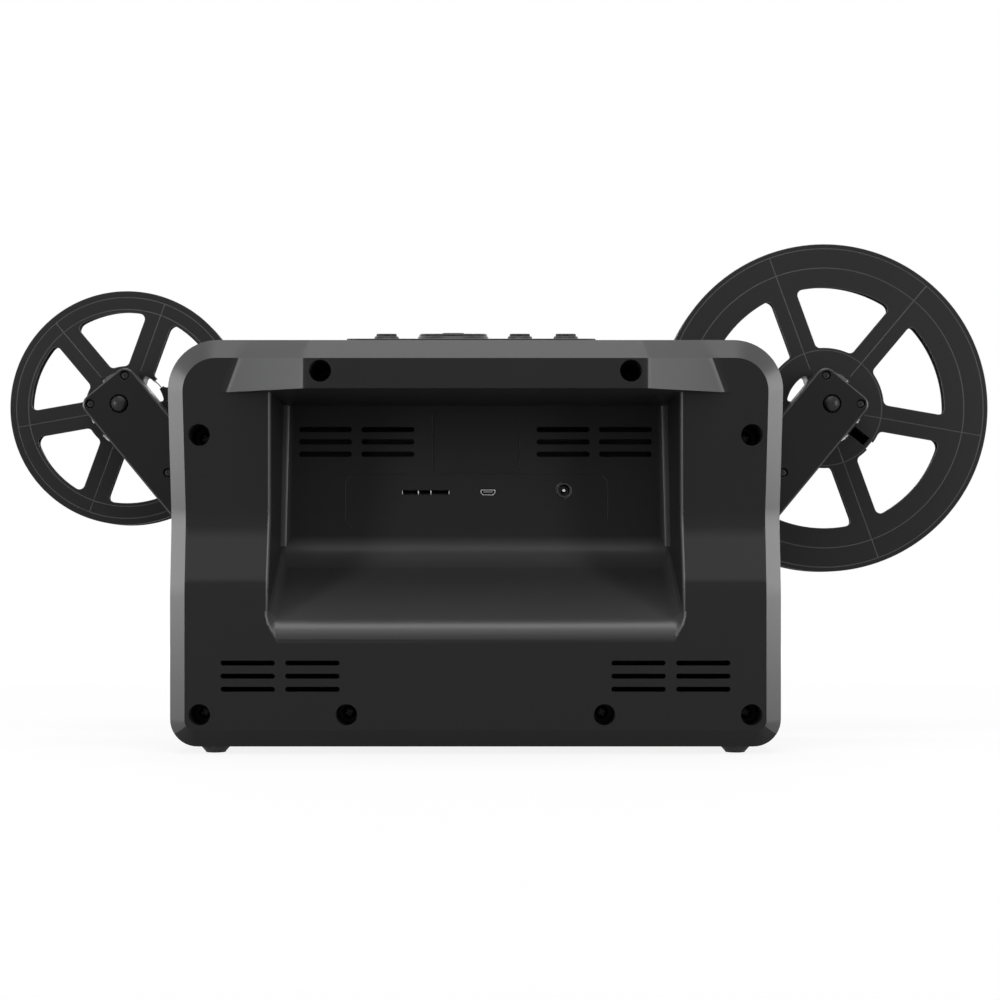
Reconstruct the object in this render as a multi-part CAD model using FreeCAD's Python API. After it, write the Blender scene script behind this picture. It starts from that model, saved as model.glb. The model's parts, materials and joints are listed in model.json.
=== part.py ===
import FreeCAD, Part
import math
import os

# Reel-to-reel film scanner with two fold-out reel arms, in millimetres.
# The origin is on the table under the middle of the case, +Y points to the rear and +Z up.
# Seen from the front, +X is the take-up side and -X is the supply side.

os.makedirs("parts", exist_ok=True)
V = FreeCAD.Vector

# Case
case_width = 301.0
case_half_depth = 46.7        # lower rear face and front block, both measured from the origin
foot_height = 3.3             # the case's underside is this high
wall = 2.5
top_rear_z = 200.15            # height of the top at top_rear_y
top_rear_y = 62.0
top_slope_deg = 8.28          # the top falls to the rear
top_corner_r = 25.0
bottom_corner_r = 13.5
rear_chamfer = 8.5            # bevel all round the rear edge
parting_y = 20.0              # seam between the front shell and the rear cover
block_half_width = 112.0      # the front block that carries screen and film path
ledge_y = -27.0               # face of the two side ledges, where the arms pivot
block_edge_r = 4.0

# Rear face
waist_y = 42.5
waist_z = 115.65
waist_r = 30.0
lower_bend_z = 80.65
lower_bend_r = 60.0
column_lean_deg = 9.46
bar_face_y = 70.0
bar_half_flat = 81.0          # half length of the carrying bar's flat face
bar_flush_half = 118.4        # where its slanted ends run out into the columns
bar_flush_y = 54.0
bar_bottom_z = 176.15
bar_blend_r = 14.0

# Carrying recess with the socket panel
recess_half_width = 99.1
recess_low_half_width = 101.5
recess_wall_y = -8.0
recess_floor_back_z = 97.65
recess_floor_front_z = 62.65
recess_floor_fillet_r = 10.0
recess_floor_round_r = 15.0
recess_corner_r = 5.0
recess_edge_r = 2.0

# Vents, panels and screw wells of the rear cover
vent_pitch_z = 6.4
vent_rows = 3
upper_vent_size = (27.6, 2.75)
upper_vent_x = (45.5, 78.0)
upper_vent_z = 157.45
lower_vent_size = (26.6, 2.5)
lower_vent_x = (79.6, 111.2)
lower_vent_z = 38.35
panel_depth = 0.4
label_x = (-22.8, 21.8)
label_z = (141.5, 172.0)
label_r = 1.5
port_panel_x = (-68.8, 67.6)
port_panel_z = (112.9, 140.8)
port_panel_r = 6.0
well_r = 5.25
well_wall = 1.75
well_seat_y = 26.0            # the screw heads rest here
well_floor = 3.0
bar_screw_at = (73.8, 184.5)
column_screw_at = (134.5, 155.9)
outer_low_screw_at = (134.8, 19.5)
inner_low_screw_at = (63.0, 19.5)
case_screw_r = 1.5
case_screw_head_r = 3.2
case_screw_head = 2.4
case_screw_length = 18.0
boss_r = 4.5

# Sockets
sd_at = (25.9, 131.2)
sd_slot_size = (25.4, 2.8)
sd_depth = 27.0
sd_rib = 0.8                  # two ribs guide the card
sd_rib_at = 4.2
usb_at = (-6.5, 131.2)
usb_size = (7.6, 2.9)
usb_depth = 6.0
dc_at = (-46.0, 132.4)
dc_nose_r = 3.9
dc_bore_r = 2.95
dc_pin_r = 1.0
dc_body = (9.4, 10.4, 13.0)
port_clearance = 0.3
board_half_length = 68.0
board_front_y = -36.0
board_thick = 1.6

# Keypad on the top
keypad_x = (-61.0, 65.4)
keypad_y = -4.0
keypad_depth = 44.0
keypad_proud = 0.7
keypad_thick = 2.0
keypad_r = 6.0
round_keys = {"power_key": 45.9, "back_key": -22.9, "menu_key": -46.6}
round_key_r = 5.3
pad_x = 11.5
pad_inner_r = 8.2
pad_outer_r = 17.6
pad_gap = 4.5
ok_key_r = 5.75
key_clearance = 0.3
key_proud = 1.3               # keys above their collars
collar_height = 1.2
collar_width = 1.2
key_flange = 0.8
key_stem_r = 1.6
key_travel = 0.7
switch_height = 1.2
key_board_drop = 6.4          # from the top plane to the key board

# Screen
glass_half_width = 64.0
glass_z = (121.0, 205.0)
glass_thick = 1.1
glass_seat = 1.2
glass_r = 5.0
view_half_width = 56.0
view_z = (131.5, 194.5)
lcd_half_width = 60.0
lcd_z = (126.0, 200.0)
lcd_thick = 5.5

# Film deck
film_y = -56.0                # middle of the film and of both reels
film_width = 8.0
deck_front_y = -66.0
deck_half_width = 98.0
deck_z = (16.0, 34.0)
track_half_width = 40.0
track_z = 42.0
channel_depth = 0.8
channel_clearance = 0.1
deck_wall = 2.5
deck_corner_r = 8.0
deck_edge_r = 2.0
track_corner_r = 3.0
aperture_half = (7.0, 4.0)
light_half_width = 9.0
light_thick = 6.0
door_half_width = 33.0
door_front_y = -65.0
door_thick = 3.0
door_corner_r = 5.0
door_lip = (9.0, 2.5)         # half width and reach of the finger lip
door_gap = 0.3
hinge_y = -49.2
hinge_z = 45.5
hinge_pin_r = 1.0
hinge_knuckle_r = 2.2
hinge_ear = 3.0
pad_half_width = 20.0
roller_at = ((52.0, 46.5), (88.0, 58.0))
roller_r = 5.0
roller_flange_r = 6.5
roller_flange = 1.2
roller_pin_r = 1.5
running_gap = 0.05            # radial clearance of every running fit
face_gap = 0.3                # between faces that turn or slide past each other

# Camera over the gate
head_half_width = 26.0
head_z = (70.0, 110.0)
head_front_y = -67.0
head_wall = 2.0
head_corner_r = 6.0
head_crown_r = 4.0
lens_r = 7.0
lens_z = (66.0, 86.0)
lens_flange_r = 8.6
sensor_half = (14.0, 8.0)

# Film claw
claw_x = 14.8
claw_stroke = 4.23            # one frame of the smaller film gauge
claw_y = (-53.8, -52.6)
claw_z = (20.5, 35.5)
claw_plate = (-1.5, 12.5)     # from the claw's tip along X
claw_rail_top = 21.8
crank_offset = 5.5            # from the claw's tip to the crank's axis
crank_z = 27.5
crank_disc_r = 4.6
crank_pin_r = 0.8
claw_motor_r = 10.0
claw_motor_length = 13.0

# Arms
arm_length = 90.0             # pivot to spindle
arm_angle_deg = 50.5
spindle_x = 189.3
spindle_z = 179.5
arm_width = 33.0
arm_tip = 14.0                # arm beyond the spindle
arm_tip_r = 5.5
arm_y = (-46.0, -28.0)
arm_cover_thick = 3.0
arm_wall = 2.2
arm_floor = 2.5
arm_cover_bevel = 0.9
arm_screw_at = ((9.7, 11.9), (9.7, -11.9), (-44.8, -3.3))
arm_screw_r = 0.9
arm_screw_head_r = 2.2
arm_screw_head = 1.2
arm_post_r = 2.6
pivot_r = 5.0
pivot_bore_r = 2.2
pivot_head_r = 7.5
pivot_head = 1.5
pivot_sleeve = 2.0
pivot_depth = 12.0            # how far the pivot is held in the case
journal_r = 4.3
dome_y = -26.2
dome_hole_r = 5.0
bearing_length = 5.0
collar_r = 9.0
reel_shaft_r = 3.93
reel_shaft_end_y = -68.0
key_fin = (1.2, 5.5)
key_fin_end_y = -60.0
brake_disc_r = 10.0
brake_disc_thick = 3.0
felt_thick = 1.0
spindle_pulley_r = 9.0
motor_pulley_r = 4.5
pulley_flange = 0.8
pulley_rim = 1.3
belt_width = 2.6
belt_thick = 1.0
motor_shaft_r = 1.5
take_up_motor_r = 12.0
take_up_motor_length = 22.0

# Reels
reel_y = (-62.5, -49.5)
flange_thick = 1.4
flange_bead = (2.2, 0.8)
hub_wall = 2.2
hub_core_r = 8.0
hub_bore_gap = 0.07
hub_open_r = 20.4
hub_spokes = 5
hub_spoke = 7.2
window_count = 6
window_r = 3.0
small_reel = {"radius": 63.5, "hub": 22.8, "window": 51.7, "spoke": 14.6, "turn": 10.0}
large_reel = {"radius": 89.0, "hub": 32.7, "window": 65.3, "spoke": 14.6, "turn": -10.0}
film_slot = 6.5

# Feet
foot_r = (5.0, 7.5)
foot_at = ((129.0, 30.5), (98.0, -36.0))

slope = math.tan(math.radians(top_slope_deg))
half_width = case_width / 2
front_y = -case_half_depth
reach = 400.0                 # longer than the object, for cutting shapes
pivot_x = spindle_x - arm_length * math.cos(math.radians(arm_angle_deg))
pivot_z = spindle_z - arm_length * math.sin(math.radians(arm_angle_deg))


def save(name, shape):
    shape.exportStep("parts/" + name + ".step")
    print(name, len(shape.Solids), round(shape.Volume / 1000, 2))


def block(x, y, z):
    return Part.makeBox(x[1] - x[0], y[1] - y[0], z[1] - z[0], V(x[0], y[0], z[0]))


def rod_x(r, y, z, x):
    return Part.makeCylinder(r, x[1] - x[0], V(x[0], y, z), V(1, 0, 0))


def rod_y(r, x, z, y):
    return Part.makeCylinder(r, y[1] - y[0], V(x, y[0], z), V(0, 1, 0))


def rod_z(r, x, y, z):
    return Part.makeCylinder(r, z[1] - z[0], V(x, y, z[0]), V(0, 0, 1))


def prism(points, direction):
    face = Part.Face(Part.makePolygon(points + points[:1]))
    return face.extrude(direction)


def fuse(shapes):
    return shapes[0].multiFuse(shapes[1:]).removeSplitter()


def middle(edge):
    return edge.valueAt((edge.FirstParameter + edge.LastParameter) / 2)


def runs_along(edge, axis):
    if edge.Curve.TypeId != "Part::GeomLine":
        return False
    return abs(edge.tangentAt(edge.FirstParameter).dot(axis)) > 0.999


def round_along(solid, radius, axis):
    return solid.makeFillet(radius, [e for e in solid.Edges if runs_along(e, axis)])


def tile(x, z, y, radius):
    """A plate in the XZ plane with rounded corners."""
    return round_along(block(x, y, z), radius, V(0, 1, 0))


def slot(x, z, size, y):
    half = size[0] / 2 - size[1] / 2
    bar = block((x - half, x + half), y, (z - size[1] / 2, z + size[1] / 2))
    ends = [rod_y(size[1] / 2, x + side * half, z, y) for side in (-1, 1)]
    return fuse([bar] + ends)


def turned(points, x, z):
    """A turned piece about the Y line through (x, z), from (radius, y) points."""
    outline = [V(x + r, y, z) for r, y in points]
    face = Part.Face(Part.makePolygon(outline + outline[:1]))
    return face.revolve(V(x, 0, z), V(0, 1, 0), 360)


def top_z(y):
    return top_rear_z + (top_rear_y - y) * slope


def under_top(drop):
    fall = drop / math.cos(math.radians(top_slope_deg))
    points = [V(-reach, -reach, -reach), V(-reach, reach, -reach),
              V(-reach, reach, top_z(reach) - fall), V(-reach, -reach, top_z(-reach) - fall)]
    return prism(points, V(2 * reach, 0, 0))


def on_top(shape):
    """Puts a shape made about the origin onto the sloping top, with its Z square to it."""
    shape.rotate(V(0, 0, 0), V(1, 0, 0), -top_slope_deg)
    shape.translate(V(0, keypad_y, top_z(keypad_y)))
    return shape


# Case forms

def column_top_y():
    lean = math.tan(math.radians(column_lean_deg))
    return (waist_y + (top_rear_z + top_rear_y * slope - waist_z) * lean) / (1 + slope * lean)


def case_prism(inset, y_front):
    top_y = column_top_y()
    start = y_front - inset
    points = [V(0, start, foot_height), V(0, case_half_depth, foot_height),
              V(0, case_half_depth, lower_bend_z), V(0, waist_y, waist_z),
              V(0, top_y, top_z(top_y)), V(0, start, top_z(start))]
    wire = Part.makePolygon(points + points[:1])
    if inset:
        wire = wire.makeOffset2D(-inset, 2)
    face = Part.Face(wire)
    half = half_width - inset
    face.translate(V(-half, 0, 0))
    solid = face.extrude(V(2 * half, 0, 0))
    tall = [e for e in solid.Edges if abs(abs(middle(e).x) - half) < 0.01
            and middle(e).z > waist_z and abs(middle(e).z - top_z(middle(e).y)) < 2 * inset + 0.01
            and abs(e.tangentAt(e.FirstParameter).y) > 0.9]
    solid = solid.makeFillet(top_corner_r - inset, tall)
    low = [e for e in solid.Edges if abs(abs(middle(e).x) - half) < 0.01
           and abs(middle(e).z - foot_height - inset) < 0.01 and runs_along(e, V(0, 1, 0))]
    return solid.makeFillet(bottom_corner_r - inset, low)


def bar_prism(inset):
    run = (bar_flush_half - bar_half_flat) / (bar_face_y - bar_flush_y)
    back_y = bar_flush_y - 2.0
    wide = bar_half_flat + run * (bar_face_y - back_y)
    base_y = parting_y + 2.0
    points = [V(wide, back_y, 0), V(bar_half_flat, bar_face_y, 0), V(-bar_half_flat, bar_face_y, 0),
              V(-wide, back_y, 0), V(-wide, base_y, 0), V(wide, base_y, 0)]
    wire = Part.makePolygon(points + points[:1])
    if inset:
        wire = wire.makeOffset2D(-inset, 2)
    face = Part.Face(wire)
    face.translate(V(0, 0, bar_bottom_z + inset))
    return face.extrude(V(0, 0, top_rear_z - bar_bottom_z + top_corner_r)).common(under_top(inset))


def facing_rear(solid, edge):
    """How far each of the two faces at an edge looks to the rear, the lesser first."""
    faces = [f for f in solid.Faces if any(e.isSame(edge) for e in f.Edges)]
    facing = sorted(f.normalAt(*f.Surface.parameter(middle(edge))).y for f in faces)
    return facing if len(facing) == 2 else (1, 1)


def rear_rim(solid, inset):
    """The edges between the rear faces and the sides, top and underside."""
    rim = []
    for edge in solid.Edges:
        at = middle(edge)
        under_bar = abs(at.z - bar_bottom_z - inset) < wall and abs(at.x) < half_width - top_corner_r
        if at.y < parting_y - inset or under_bar:
            continue
        least, most = facing_rear(solid, edge)
        if least < 0.3 and most > 0.6:
            rim.append(edge)
    return rim


def case_form(inset, y_front):
    """The closed form of the case, bevelled at the rear; the hollow inside is the same form inset."""
    solid = case_prism(inset, y_front)
    for z, radius in ((lower_bend_z, lower_bend_r - inset), (waist_z, waist_r + inset)):
        bend = [e for e in solid.Edges if abs(middle(e).z - z) < 1
                and middle(e).y > parting_y and runs_along(e, V(1, 0, 0))]
        solid = solid.makeFillet(radius, bend)
    solid = fuse([solid, bar_prism(inset)])
    for low, high, radius in ((bar_half_flat - wall - 1, bar_half_flat + wall, bar_blend_r - inset),
                              (bar_flush_half - 2 * wall, bar_flush_half + 2 * wall, bar_blend_r + inset)):
        ends = [e for e in solid.Edges if low < abs(middle(e).x) < high
                and bar_bottom_z + wall < middle(e).z < top_rear_z - 2 * wall
                and min(v.Z for v in e.Vertexes) < middle(e).z - 2 * wall]
        solid = solid.makeFillet(radius, ends)
    bevel = rear_chamfer - inset * (2 - math.sqrt(2))
    return solid.makeChamfer(bevel, rear_rim(solid, inset))


def recess_outline():
    """The recess in side view, with its floor's two bends rounded."""
    fall = math.atan2(recess_floor_back_z - recess_floor_front_z, case_half_depth - recess_wall_y)
    along = V(0, math.cos(fall), -math.sin(fall))
    knee = V(0, case_half_depth, recess_floor_front_z)
    heel = V(0, recess_wall_y, recess_floor_back_z)
    bends = []
    for corner, before, after, radius in ((heel, V(0, 0, -1), along, recess_floor_fillet_r),
                                          (knee, along, V(0, 0, -1), recess_floor_round_r)):
        turn = before.getAngle(after)
        cut = radius * math.tan(turn / 2)
        inward = (after - before).normalize()
        centre = corner + inward * (radius / math.cos(turn / 2))
        bends.append((corner - before * cut, centre - inward * radius, corner + after * cut))
    out_y = bar_face_y + reach / 10
    points = [bends[1][2], V(0, out_y, bends[1][2].z), V(0, out_y, bar_bottom_z),
              V(0, recess_wall_y, bar_bottom_z), bends[0][0]]
    edges = [Part.Arc(*bends[0]).toShape(), Part.LineSegment(bends[0][2], bends[1][0]).toShape(),
             Part.Arc(*bends[1]).toShape()]
    edges += [Part.LineSegment(a, b).toShape() for a, b in zip(points, points[1:])]
    return Part.Wire(edges)


def recess(grow):
    """The space of the carrying recess, or its outside when grown by the wall."""
    wire = recess_outline()
    if grow:
        wire = wire.makeOffset2D(grow, 2)
    face = Part.Face(wire)
    face.translate(V(-half_width, 0, 0))
    side = face.extrude(V(case_width, 0, 0))
    high = recess_half_width + grow
    low = recess_low_half_width + grow
    spread = (low - high) / (bar_bottom_z - recess_floor_front_z)
    top, bottom = bar_bottom_z + reach / 10, recess_floor_front_z - reach / 10
    wide_top = high - spread * (top - bar_bottom_z)
    wide_low = low + spread * (recess_floor_front_z - bottom)
    front = prism([V(-wide_top, -reach, top), V(wide_top, -reach, top),
                   V(wide_low, -reach, bottom), V(-wide_low, -reach, bottom)], V(0, 2 * reach, 0))
    solid = side.common(front)
    low_z = recess_floor_front_z - recess_floor_round_r
    inner = [e for e in solid.Edges if abs(middle(e).x) > recess_half_width - 1
             and middle(e).y < case_half_depth + grow + 0.1 and low_z < middle(e).z < bar_bottom_z - 1]
    return solid.makeFillet(recess_corner_r + grow, inner)


def well_places():
    places = []
    for x, z in (bar_screw_at, column_screw_at, outer_low_screw_at, inner_low_screw_at):
        places += [(x, z), (-x, z)]
    return places


def vents(size, xs, z_middle, y):
    cuts = []
    for x in xs:
        for side in (-1, 1):
            for row in range(vent_rows):
                z = z_middle + (row - (vent_rows - 1) / 2) * vent_pitch_z
                cuts.append(slot(side * x, z, size, y))
    return cuts


board_z = sd_at[1] - sd_slot_size[1] / 2 - 0.4
shelf_z = board_z - board_thick
recess_back_y = recess_wall_y - wall


def recess_mouth(solid):
    """The upright edges of the recess's mouth, round to its lower corners."""
    mouth = []
    for edge in solid.Edges:
        at = middle(edge)
        if at.y < waist_y - 6 or not 55 < at.z < bar_bottom_z:
            continue
        if recess_half_width - 2 < abs(at.x) < recess_low_half_width + 0.1:
            least, most = facing_rear(solid, edge)
            if least < 0.75 and most > 0.85:
                mouth.append(edge)
    return mouth


def rear_cover():
    start_y = recess_wall_y - 4 * wall
    outside = case_form(0, start_y)
    behind = block((-reach, reach), (parting_y, reach), (-reach, reach))
    lid = outside.common(behind).cut(case_form(wall, start_y))
    cover = fuse([lid, recess(wall).common(outside)]).cut(recess(0))
    cover = cover.makeFillet(recess_edge_r, recess_mouth(cover))
    shelves = [block((x - 3, x + 3), (board_front_y + 4, recess_back_y), (shelf_z - wall, shelf_z))
               for x in (-board_half_length + 6, board_half_length - 6)]
    wells = [rod_y(well_r + well_wall, x, z, (well_seat_y - well_floor, reach / 4)).common(outside)
             for x, z in well_places()]
    cover = fuse([cover] + shelves + wells)
    cuts = [rod_y(well_r, x, z, (well_seat_y, reach)) for x, z in well_places()]
    cuts += [rod_y(case_screw_r + port_clearance, x, z, (0, reach / 4)) for x, z in well_places()]
    through_wall = (recess_back_y - 1, recess_wall_y + 1)
    cuts += vents(upper_vent_size, upper_vent_x, upper_vent_z, through_wall)
    cuts += vents(lower_vent_size, lower_vent_x, lower_vent_z, (parting_y, case_half_depth + 1))
    panel_y = (recess_wall_y - panel_depth, recess_wall_y + 1)
    cuts.append(tile(label_x, label_z, panel_y, label_r))
    cuts.append(tile(port_panel_x, port_panel_z, panel_y, port_panel_r))
    cuts.append(slot(sd_at[0], sd_at[1], sd_slot_size, through_wall))
    usb_hole = prism(usb_outline(port_clearance), V(0, through_wall[1] - through_wall[0], 0))
    usb_hole.translate(V(0, through_wall[0], 0))
    cuts.append(usb_hole)
    cuts.append(rod_y(dc_nose_r + port_clearance, dc_at[0], dc_at[1], through_wall))
    return cover.cut(Part.makeCompound(cuts))


def front_block(inset, y_back):
    half = block_half_width - inset
    solid = block((-half, half), (front_y + inset, y_back), (foot_height + inset, reach))
    uprights = [e for e in solid.Edges if runs_along(e, V(0, 0, 1)) and middle(e).y < 0]
    return solid.makeFillet(block_edge_r - inset / 2, uprights).common(under_top(inset))


def direction_of(solid):
    at = solid.CenterOfMass
    return round(math.degrees(math.atan2(at.y, at.x))) % 360


def key_sectors(inner_r, outer_r, gap, z):
    """Four quarter rings about the pad's middle, in the order right, front, left, rear."""
    ring = rod_z(outer_r, 0, 0, z).cut(rod_z(inner_r, 0, 0, z))
    bar = block((-reach, reach), (-gap / 2, gap / 2), (z[0] - 1, z[1] + 1))
    cross = [bar.copy(), bar.copy()]
    cross[0].rotate(V(0, 0, 0), V(0, 0, 1), 45)
    cross[1].rotate(V(0, 0, 0), V(0, 0, 1), -45)
    parts = ring.cut(cross[0]).cut(cross[1]).Solids
    order = sorted(parts, key=direction_of)
    for part in order:
        part.translate(V(pad_x, 0, 0))
    return order


def key_holes(grow, z):
    cuts = [rod_z(round_key_r + grow, x, 0, z) for x in round_keys.values()]
    cuts.append(rod_z(ok_key_r + grow, pad_x, 0, z))
    cuts += key_sectors(pad_inner_r - grow, pad_outer_r + grow, pad_gap - 2 * grow, z)
    return cuts


def board_posts():
    xs = (keypad_x[0] + 8, keypad_x[1] - 8)
    return [rod_z(2.5, x, y, (-key_board_drop, -wall / 2)) for x in xs for y in (-15, 15)]


def front_shell():
    outer = case_prism(0, ledge_y)
    keep = block((-reach, reach), (-reach, parting_y), (-reach, reach))
    outer = fuse([outer.common(keep), front_block(0, ledge_y + wall)])
    inner = fuse([case_prism(wall, ledge_y + wall), front_block(wall, ledge_y + 3 * wall)])
    shell = outer.cut(inner)
    floor_y = {bar_screw_at: front_y, inner_low_screw_at: front_y,
               column_screw_at: ledge_y, outer_low_screw_at: ledge_y}
    adds = []
    for at, y in floor_y.items():
        for side in (-1, 1):
            adds.append(rod_y(boss_r, side * at[0], at[1], (y + wall / 2, well_seat_y - well_floor)))
    for side in (-1, 1):
        x = side * pivot_x
        adds.append(rod_y(pivot_head_r + 1, x, pivot_z, (ledge_y - 1 + face_gap, ledge_y + pivot_depth + wall)))
        for at in roller_at:
            adds.append(rod_y(4, side * at[0], at[1], (front_y + wall / 2, front_y + 3 * wall)))
    adds += [on_top(post) for post in board_posts()]
    shell = fuse([shell] + adds)
    cuts = []
    for x, z in well_places():
        seat = well_seat_y - well_floor
        cuts.append(rod_y(case_screw_r + running_gap, x, z, (well_seat_y - case_screw_length - 2, seat + 1)))
    for side in (-1, 1):
        x = side * pivot_x
        cuts.append(rod_y(pivot_r + running_gap, x, pivot_z, (-reach / 4, ledge_y + pivot_depth)))
        cuts.append(rod_y(motor_shaft_r + face_gap, x, pivot_z, (-reach / 4, ledge_y + pivot_depth + 2 * wall)))
        for at in roller_at:
            cuts.append(rod_y(roller_pin_r + running_gap, side * at[0], at[1], (front_y - 1, front_y + 4 * wall)))
    cuts.append(tile((-glass_half_width - face_gap / 2, glass_half_width + face_gap / 2),
                     (glass_z[0] - face_gap / 2, glass_z[1] + face_gap / 2),
                     (front_y - 1, front_y + glass_seat), glass_r))
    cuts.append(block((-view_half_width, view_half_width), (front_y - 1, front_y + 2 * wall), view_z))
    cuts.append(rod_y(motor_shaft_r + face_gap, crank_x, crank_z, (front_y - 1, front_y + 2 * wall)))
    cuts.append(block((-8, 8), (front_y - 1, front_y + 2 * wall), (head_z[1] - 16, head_z[1] - 8)))
    pocket = block((keypad_x[0] - face_gap / 2, keypad_x[1] + face_gap / 2),
                   (-keypad_depth / 2 - face_gap / 2, keypad_depth / 2 + face_gap / 2),
                   (keypad_proud - keypad_thick, 10))
    cuts.append(on_top(round_along(pocket, keypad_r, V(0, 0, 1))))
    cuts += [on_top(hole) for hole in key_holes(2 * key_clearance, (-wall - 2, 5))]
    return shell.cut(Part.makeCompound(cuts))


# Keypad

def keypad_panel():
    z = (keypad_proud - keypad_thick, keypad_proud)
    panel = round_along(block(keypad_x, (-keypad_depth / 2, keypad_depth / 2), z), keypad_r, V(0, 0, 1))
    collars = []
    rings = [(x, round_key_r) for x in round_keys.values()] + [(pad_x, pad_outer_r)]
    for x, radius in rings:
        low = radius + key_clearance + collar_width
        collars.append(Part.makeCone(low, low - collar_width / 2, collar_height, V(x, 0, keypad_proud)))
    holes = key_holes(key_clearance, (z[0] - 1, z[1] + collar_height + 1))
    holes.append(rod_z(pad_outer_r + key_clearance, pad_x, 0, (keypad_proud, keypad_proud + 5)))
    return on_top(fuse([panel] + collars).cut(Part.makeCompound(holes)))


def key_heights():
    top = keypad_proud + collar_height + key_proud
    flange_top = -wall - face_gap
    stem_end = -key_board_drop + switch_height + key_travel + 0.2
    return top, flange_top, stem_end


def soft_top(solid, top, radius):
    return solid.makeFillet(radius, [e for e in solid.Edges if abs(middle(e).z - top) < 0.01])


def round_key(x, radius, extra):
    top, flange_top, stem_end = key_heights()
    head = soft_top(rod_z(radius, x, 0, (flange_top, top + extra)), top + extra, 0.6)
    flange = rod_z(radius + collar_width, x, 0, (flange_top - key_flange, flange_top))
    stem = rod_z(key_stem_r, x, 0, (stem_end, flange_top))
    return on_top(fuse([head, flange, stem]))


def pad_keys():
    top, flange_top, stem_end = key_heights()
    heads = key_sectors(pad_inner_r, pad_outer_r, pad_gap, (flange_top, top))
    flanges = key_sectors(pad_inner_r - 0.3, pad_outer_r + collar_width, pad_gap - 1.5,
                          (flange_top - key_flange, flange_top))
    keys = []
    for head, flange in zip(heads, flanges):
        middle_r = (pad_inner_r + pad_outer_r) / 2
        away = V(head.CenterOfMass.x - pad_x, head.CenterOfMass.y, 0).normalize() * middle_r
        stem = rod_z(key_stem_r, pad_x + away.x, away.y, (stem_end, flange_top))
        keys.append(on_top(fuse([soft_top(head, top, 1.0), flange, stem])))
    return dict(zip(("right_key", "up_key", "left_key", "down_key"), keys))


def key_board():
    z = (-key_board_drop - board_thick, -key_board_drop)
    board = round_along(block((keypad_x[0] + 4, keypad_x[1] - 4), (-18, 18), z), 2.0, V(0, 0, 1))
    middle_r = (pad_inner_r + pad_outer_r) / 2
    places = [(x, 0) for x in round_keys.values()] + [(pad_x, 0)]
    places += [(pad_x + middle_r, 0), (pad_x - middle_r, 0), (pad_x, middle_r), (pad_x, -middle_r)]
    switches = [rod_z(2.4, x, y, (z[1], z[1] + switch_height)) for x, y in places]
    return on_top(fuse([board] + switches))


# Screen and electronics

def screen_glass():
    y = (front_y + glass_seat - glass_thick, front_y + glass_seat)
    return tile((-glass_half_width, glass_half_width), glass_z, y, glass_r)


def lcd_module():
    back = front_y + wall
    module = tile((-lcd_half_width, lcd_half_width), lcd_z, (back, back + lcd_thick), 1.0)
    backing = block((-lcd_half_width + 14, lcd_half_width - 14), (back + lcd_thick, back + lcd_thick + 1.2),
                    (lcd_z[0] + 12, lcd_z[1] - 12))
    return fuse([module, backing])


def main_board():
    board = block((-board_half_length, board_half_length), (board_front_y, recess_back_y - 1.0), (shelf_z, board_z))
    notch = block((dc_at[0] - dc_body[0] / 2 - port_clearance, dc_at[0] + dc_body[0] / 2 + port_clearance),
                  (recess_back_y - dc_body[2] - 1, recess_back_y), (shelf_z - 1, board_z + 1))
    chips = [block((-32, -16), (-31, -17), (board_z, board_z + 1.4)),
             block((44, 56), (-30, -20), (board_z, board_z + 1.2)),
             block((0, 8), (-34, -26), (board_z, board_z + 1.0))]
    return fuse([board.cut(notch)] + chips)


def sd_socket():
    x, z = sd_at
    low, high = board_z, z + sd_slot_size[1] / 2 + 0.6
    y = (recess_back_y - sd_depth, recess_back_y)
    shell = block((x - sd_slot_size[0] / 2 - 1.4, x + sd_slot_size[0] / 2 + 1.4), y, (low, high))
    half = sd_slot_size[0] / 2 - 0.6
    mouth = block((x - half, x + half), (y[0] + 2, y[1] + 1),
                  (z - sd_slot_size[1] / 2 + 0.3, z + sd_slot_size[1] / 2 - 0.2))
    ribs = [block((at - sd_rib / 2, at + sd_rib / 2), (y[0] + 2, y[1] - 1), (low + 0.3, low + 1.2))
            for at in (x - sd_rib_at, x + sd_rib_at)]
    return fuse([shell.cut(mouth)] + ribs)


def usb_outline(grow):
    x, z = usb_at
    wide, low = usb_size[0] / 2 + grow, usb_size[1] / 2 + grow
    return [V(x - wide, 0, z + low), V(x + wide, 0, z + low), V(x + wide, 0, z - low * 0.2),
            V(x + wide - 1.1, 0, z - low), V(x - wide + 1.1, 0, z - low), V(x - wide, 0, z - low * 0.2)]


def usb_socket():
    y = (recess_back_y - usb_depth, recess_wall_y - panel_depth)
    length = V(0, y[1] - y[0], 0)
    shell = prism(usb_outline(0), length)
    hollow = prism(usb_outline(-0.35), length)
    hollow.translate(V(0, 1.5, 0))
    tongue = block((usb_at[0] - 2.4, usb_at[0] + 2.4), (1.0, length.y - 0.8), (usb_at[1] - 0.1, usb_at[1] + 0.7))
    socket = fuse([shell.cut(hollow), tongue])
    socket.translate(V(0, y[0], 0))
    x, z = usb_at
    base = block((x - usb_size[0] / 2, x + usb_size[0] / 2), (y[0], recess_back_y),
                 (board_z, z - usb_size[1] / 2 + 0.4))
    return fuse([socket, base.cut(prism(usb_outline(-0.35), V(0, -reach, 0)))])


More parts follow.
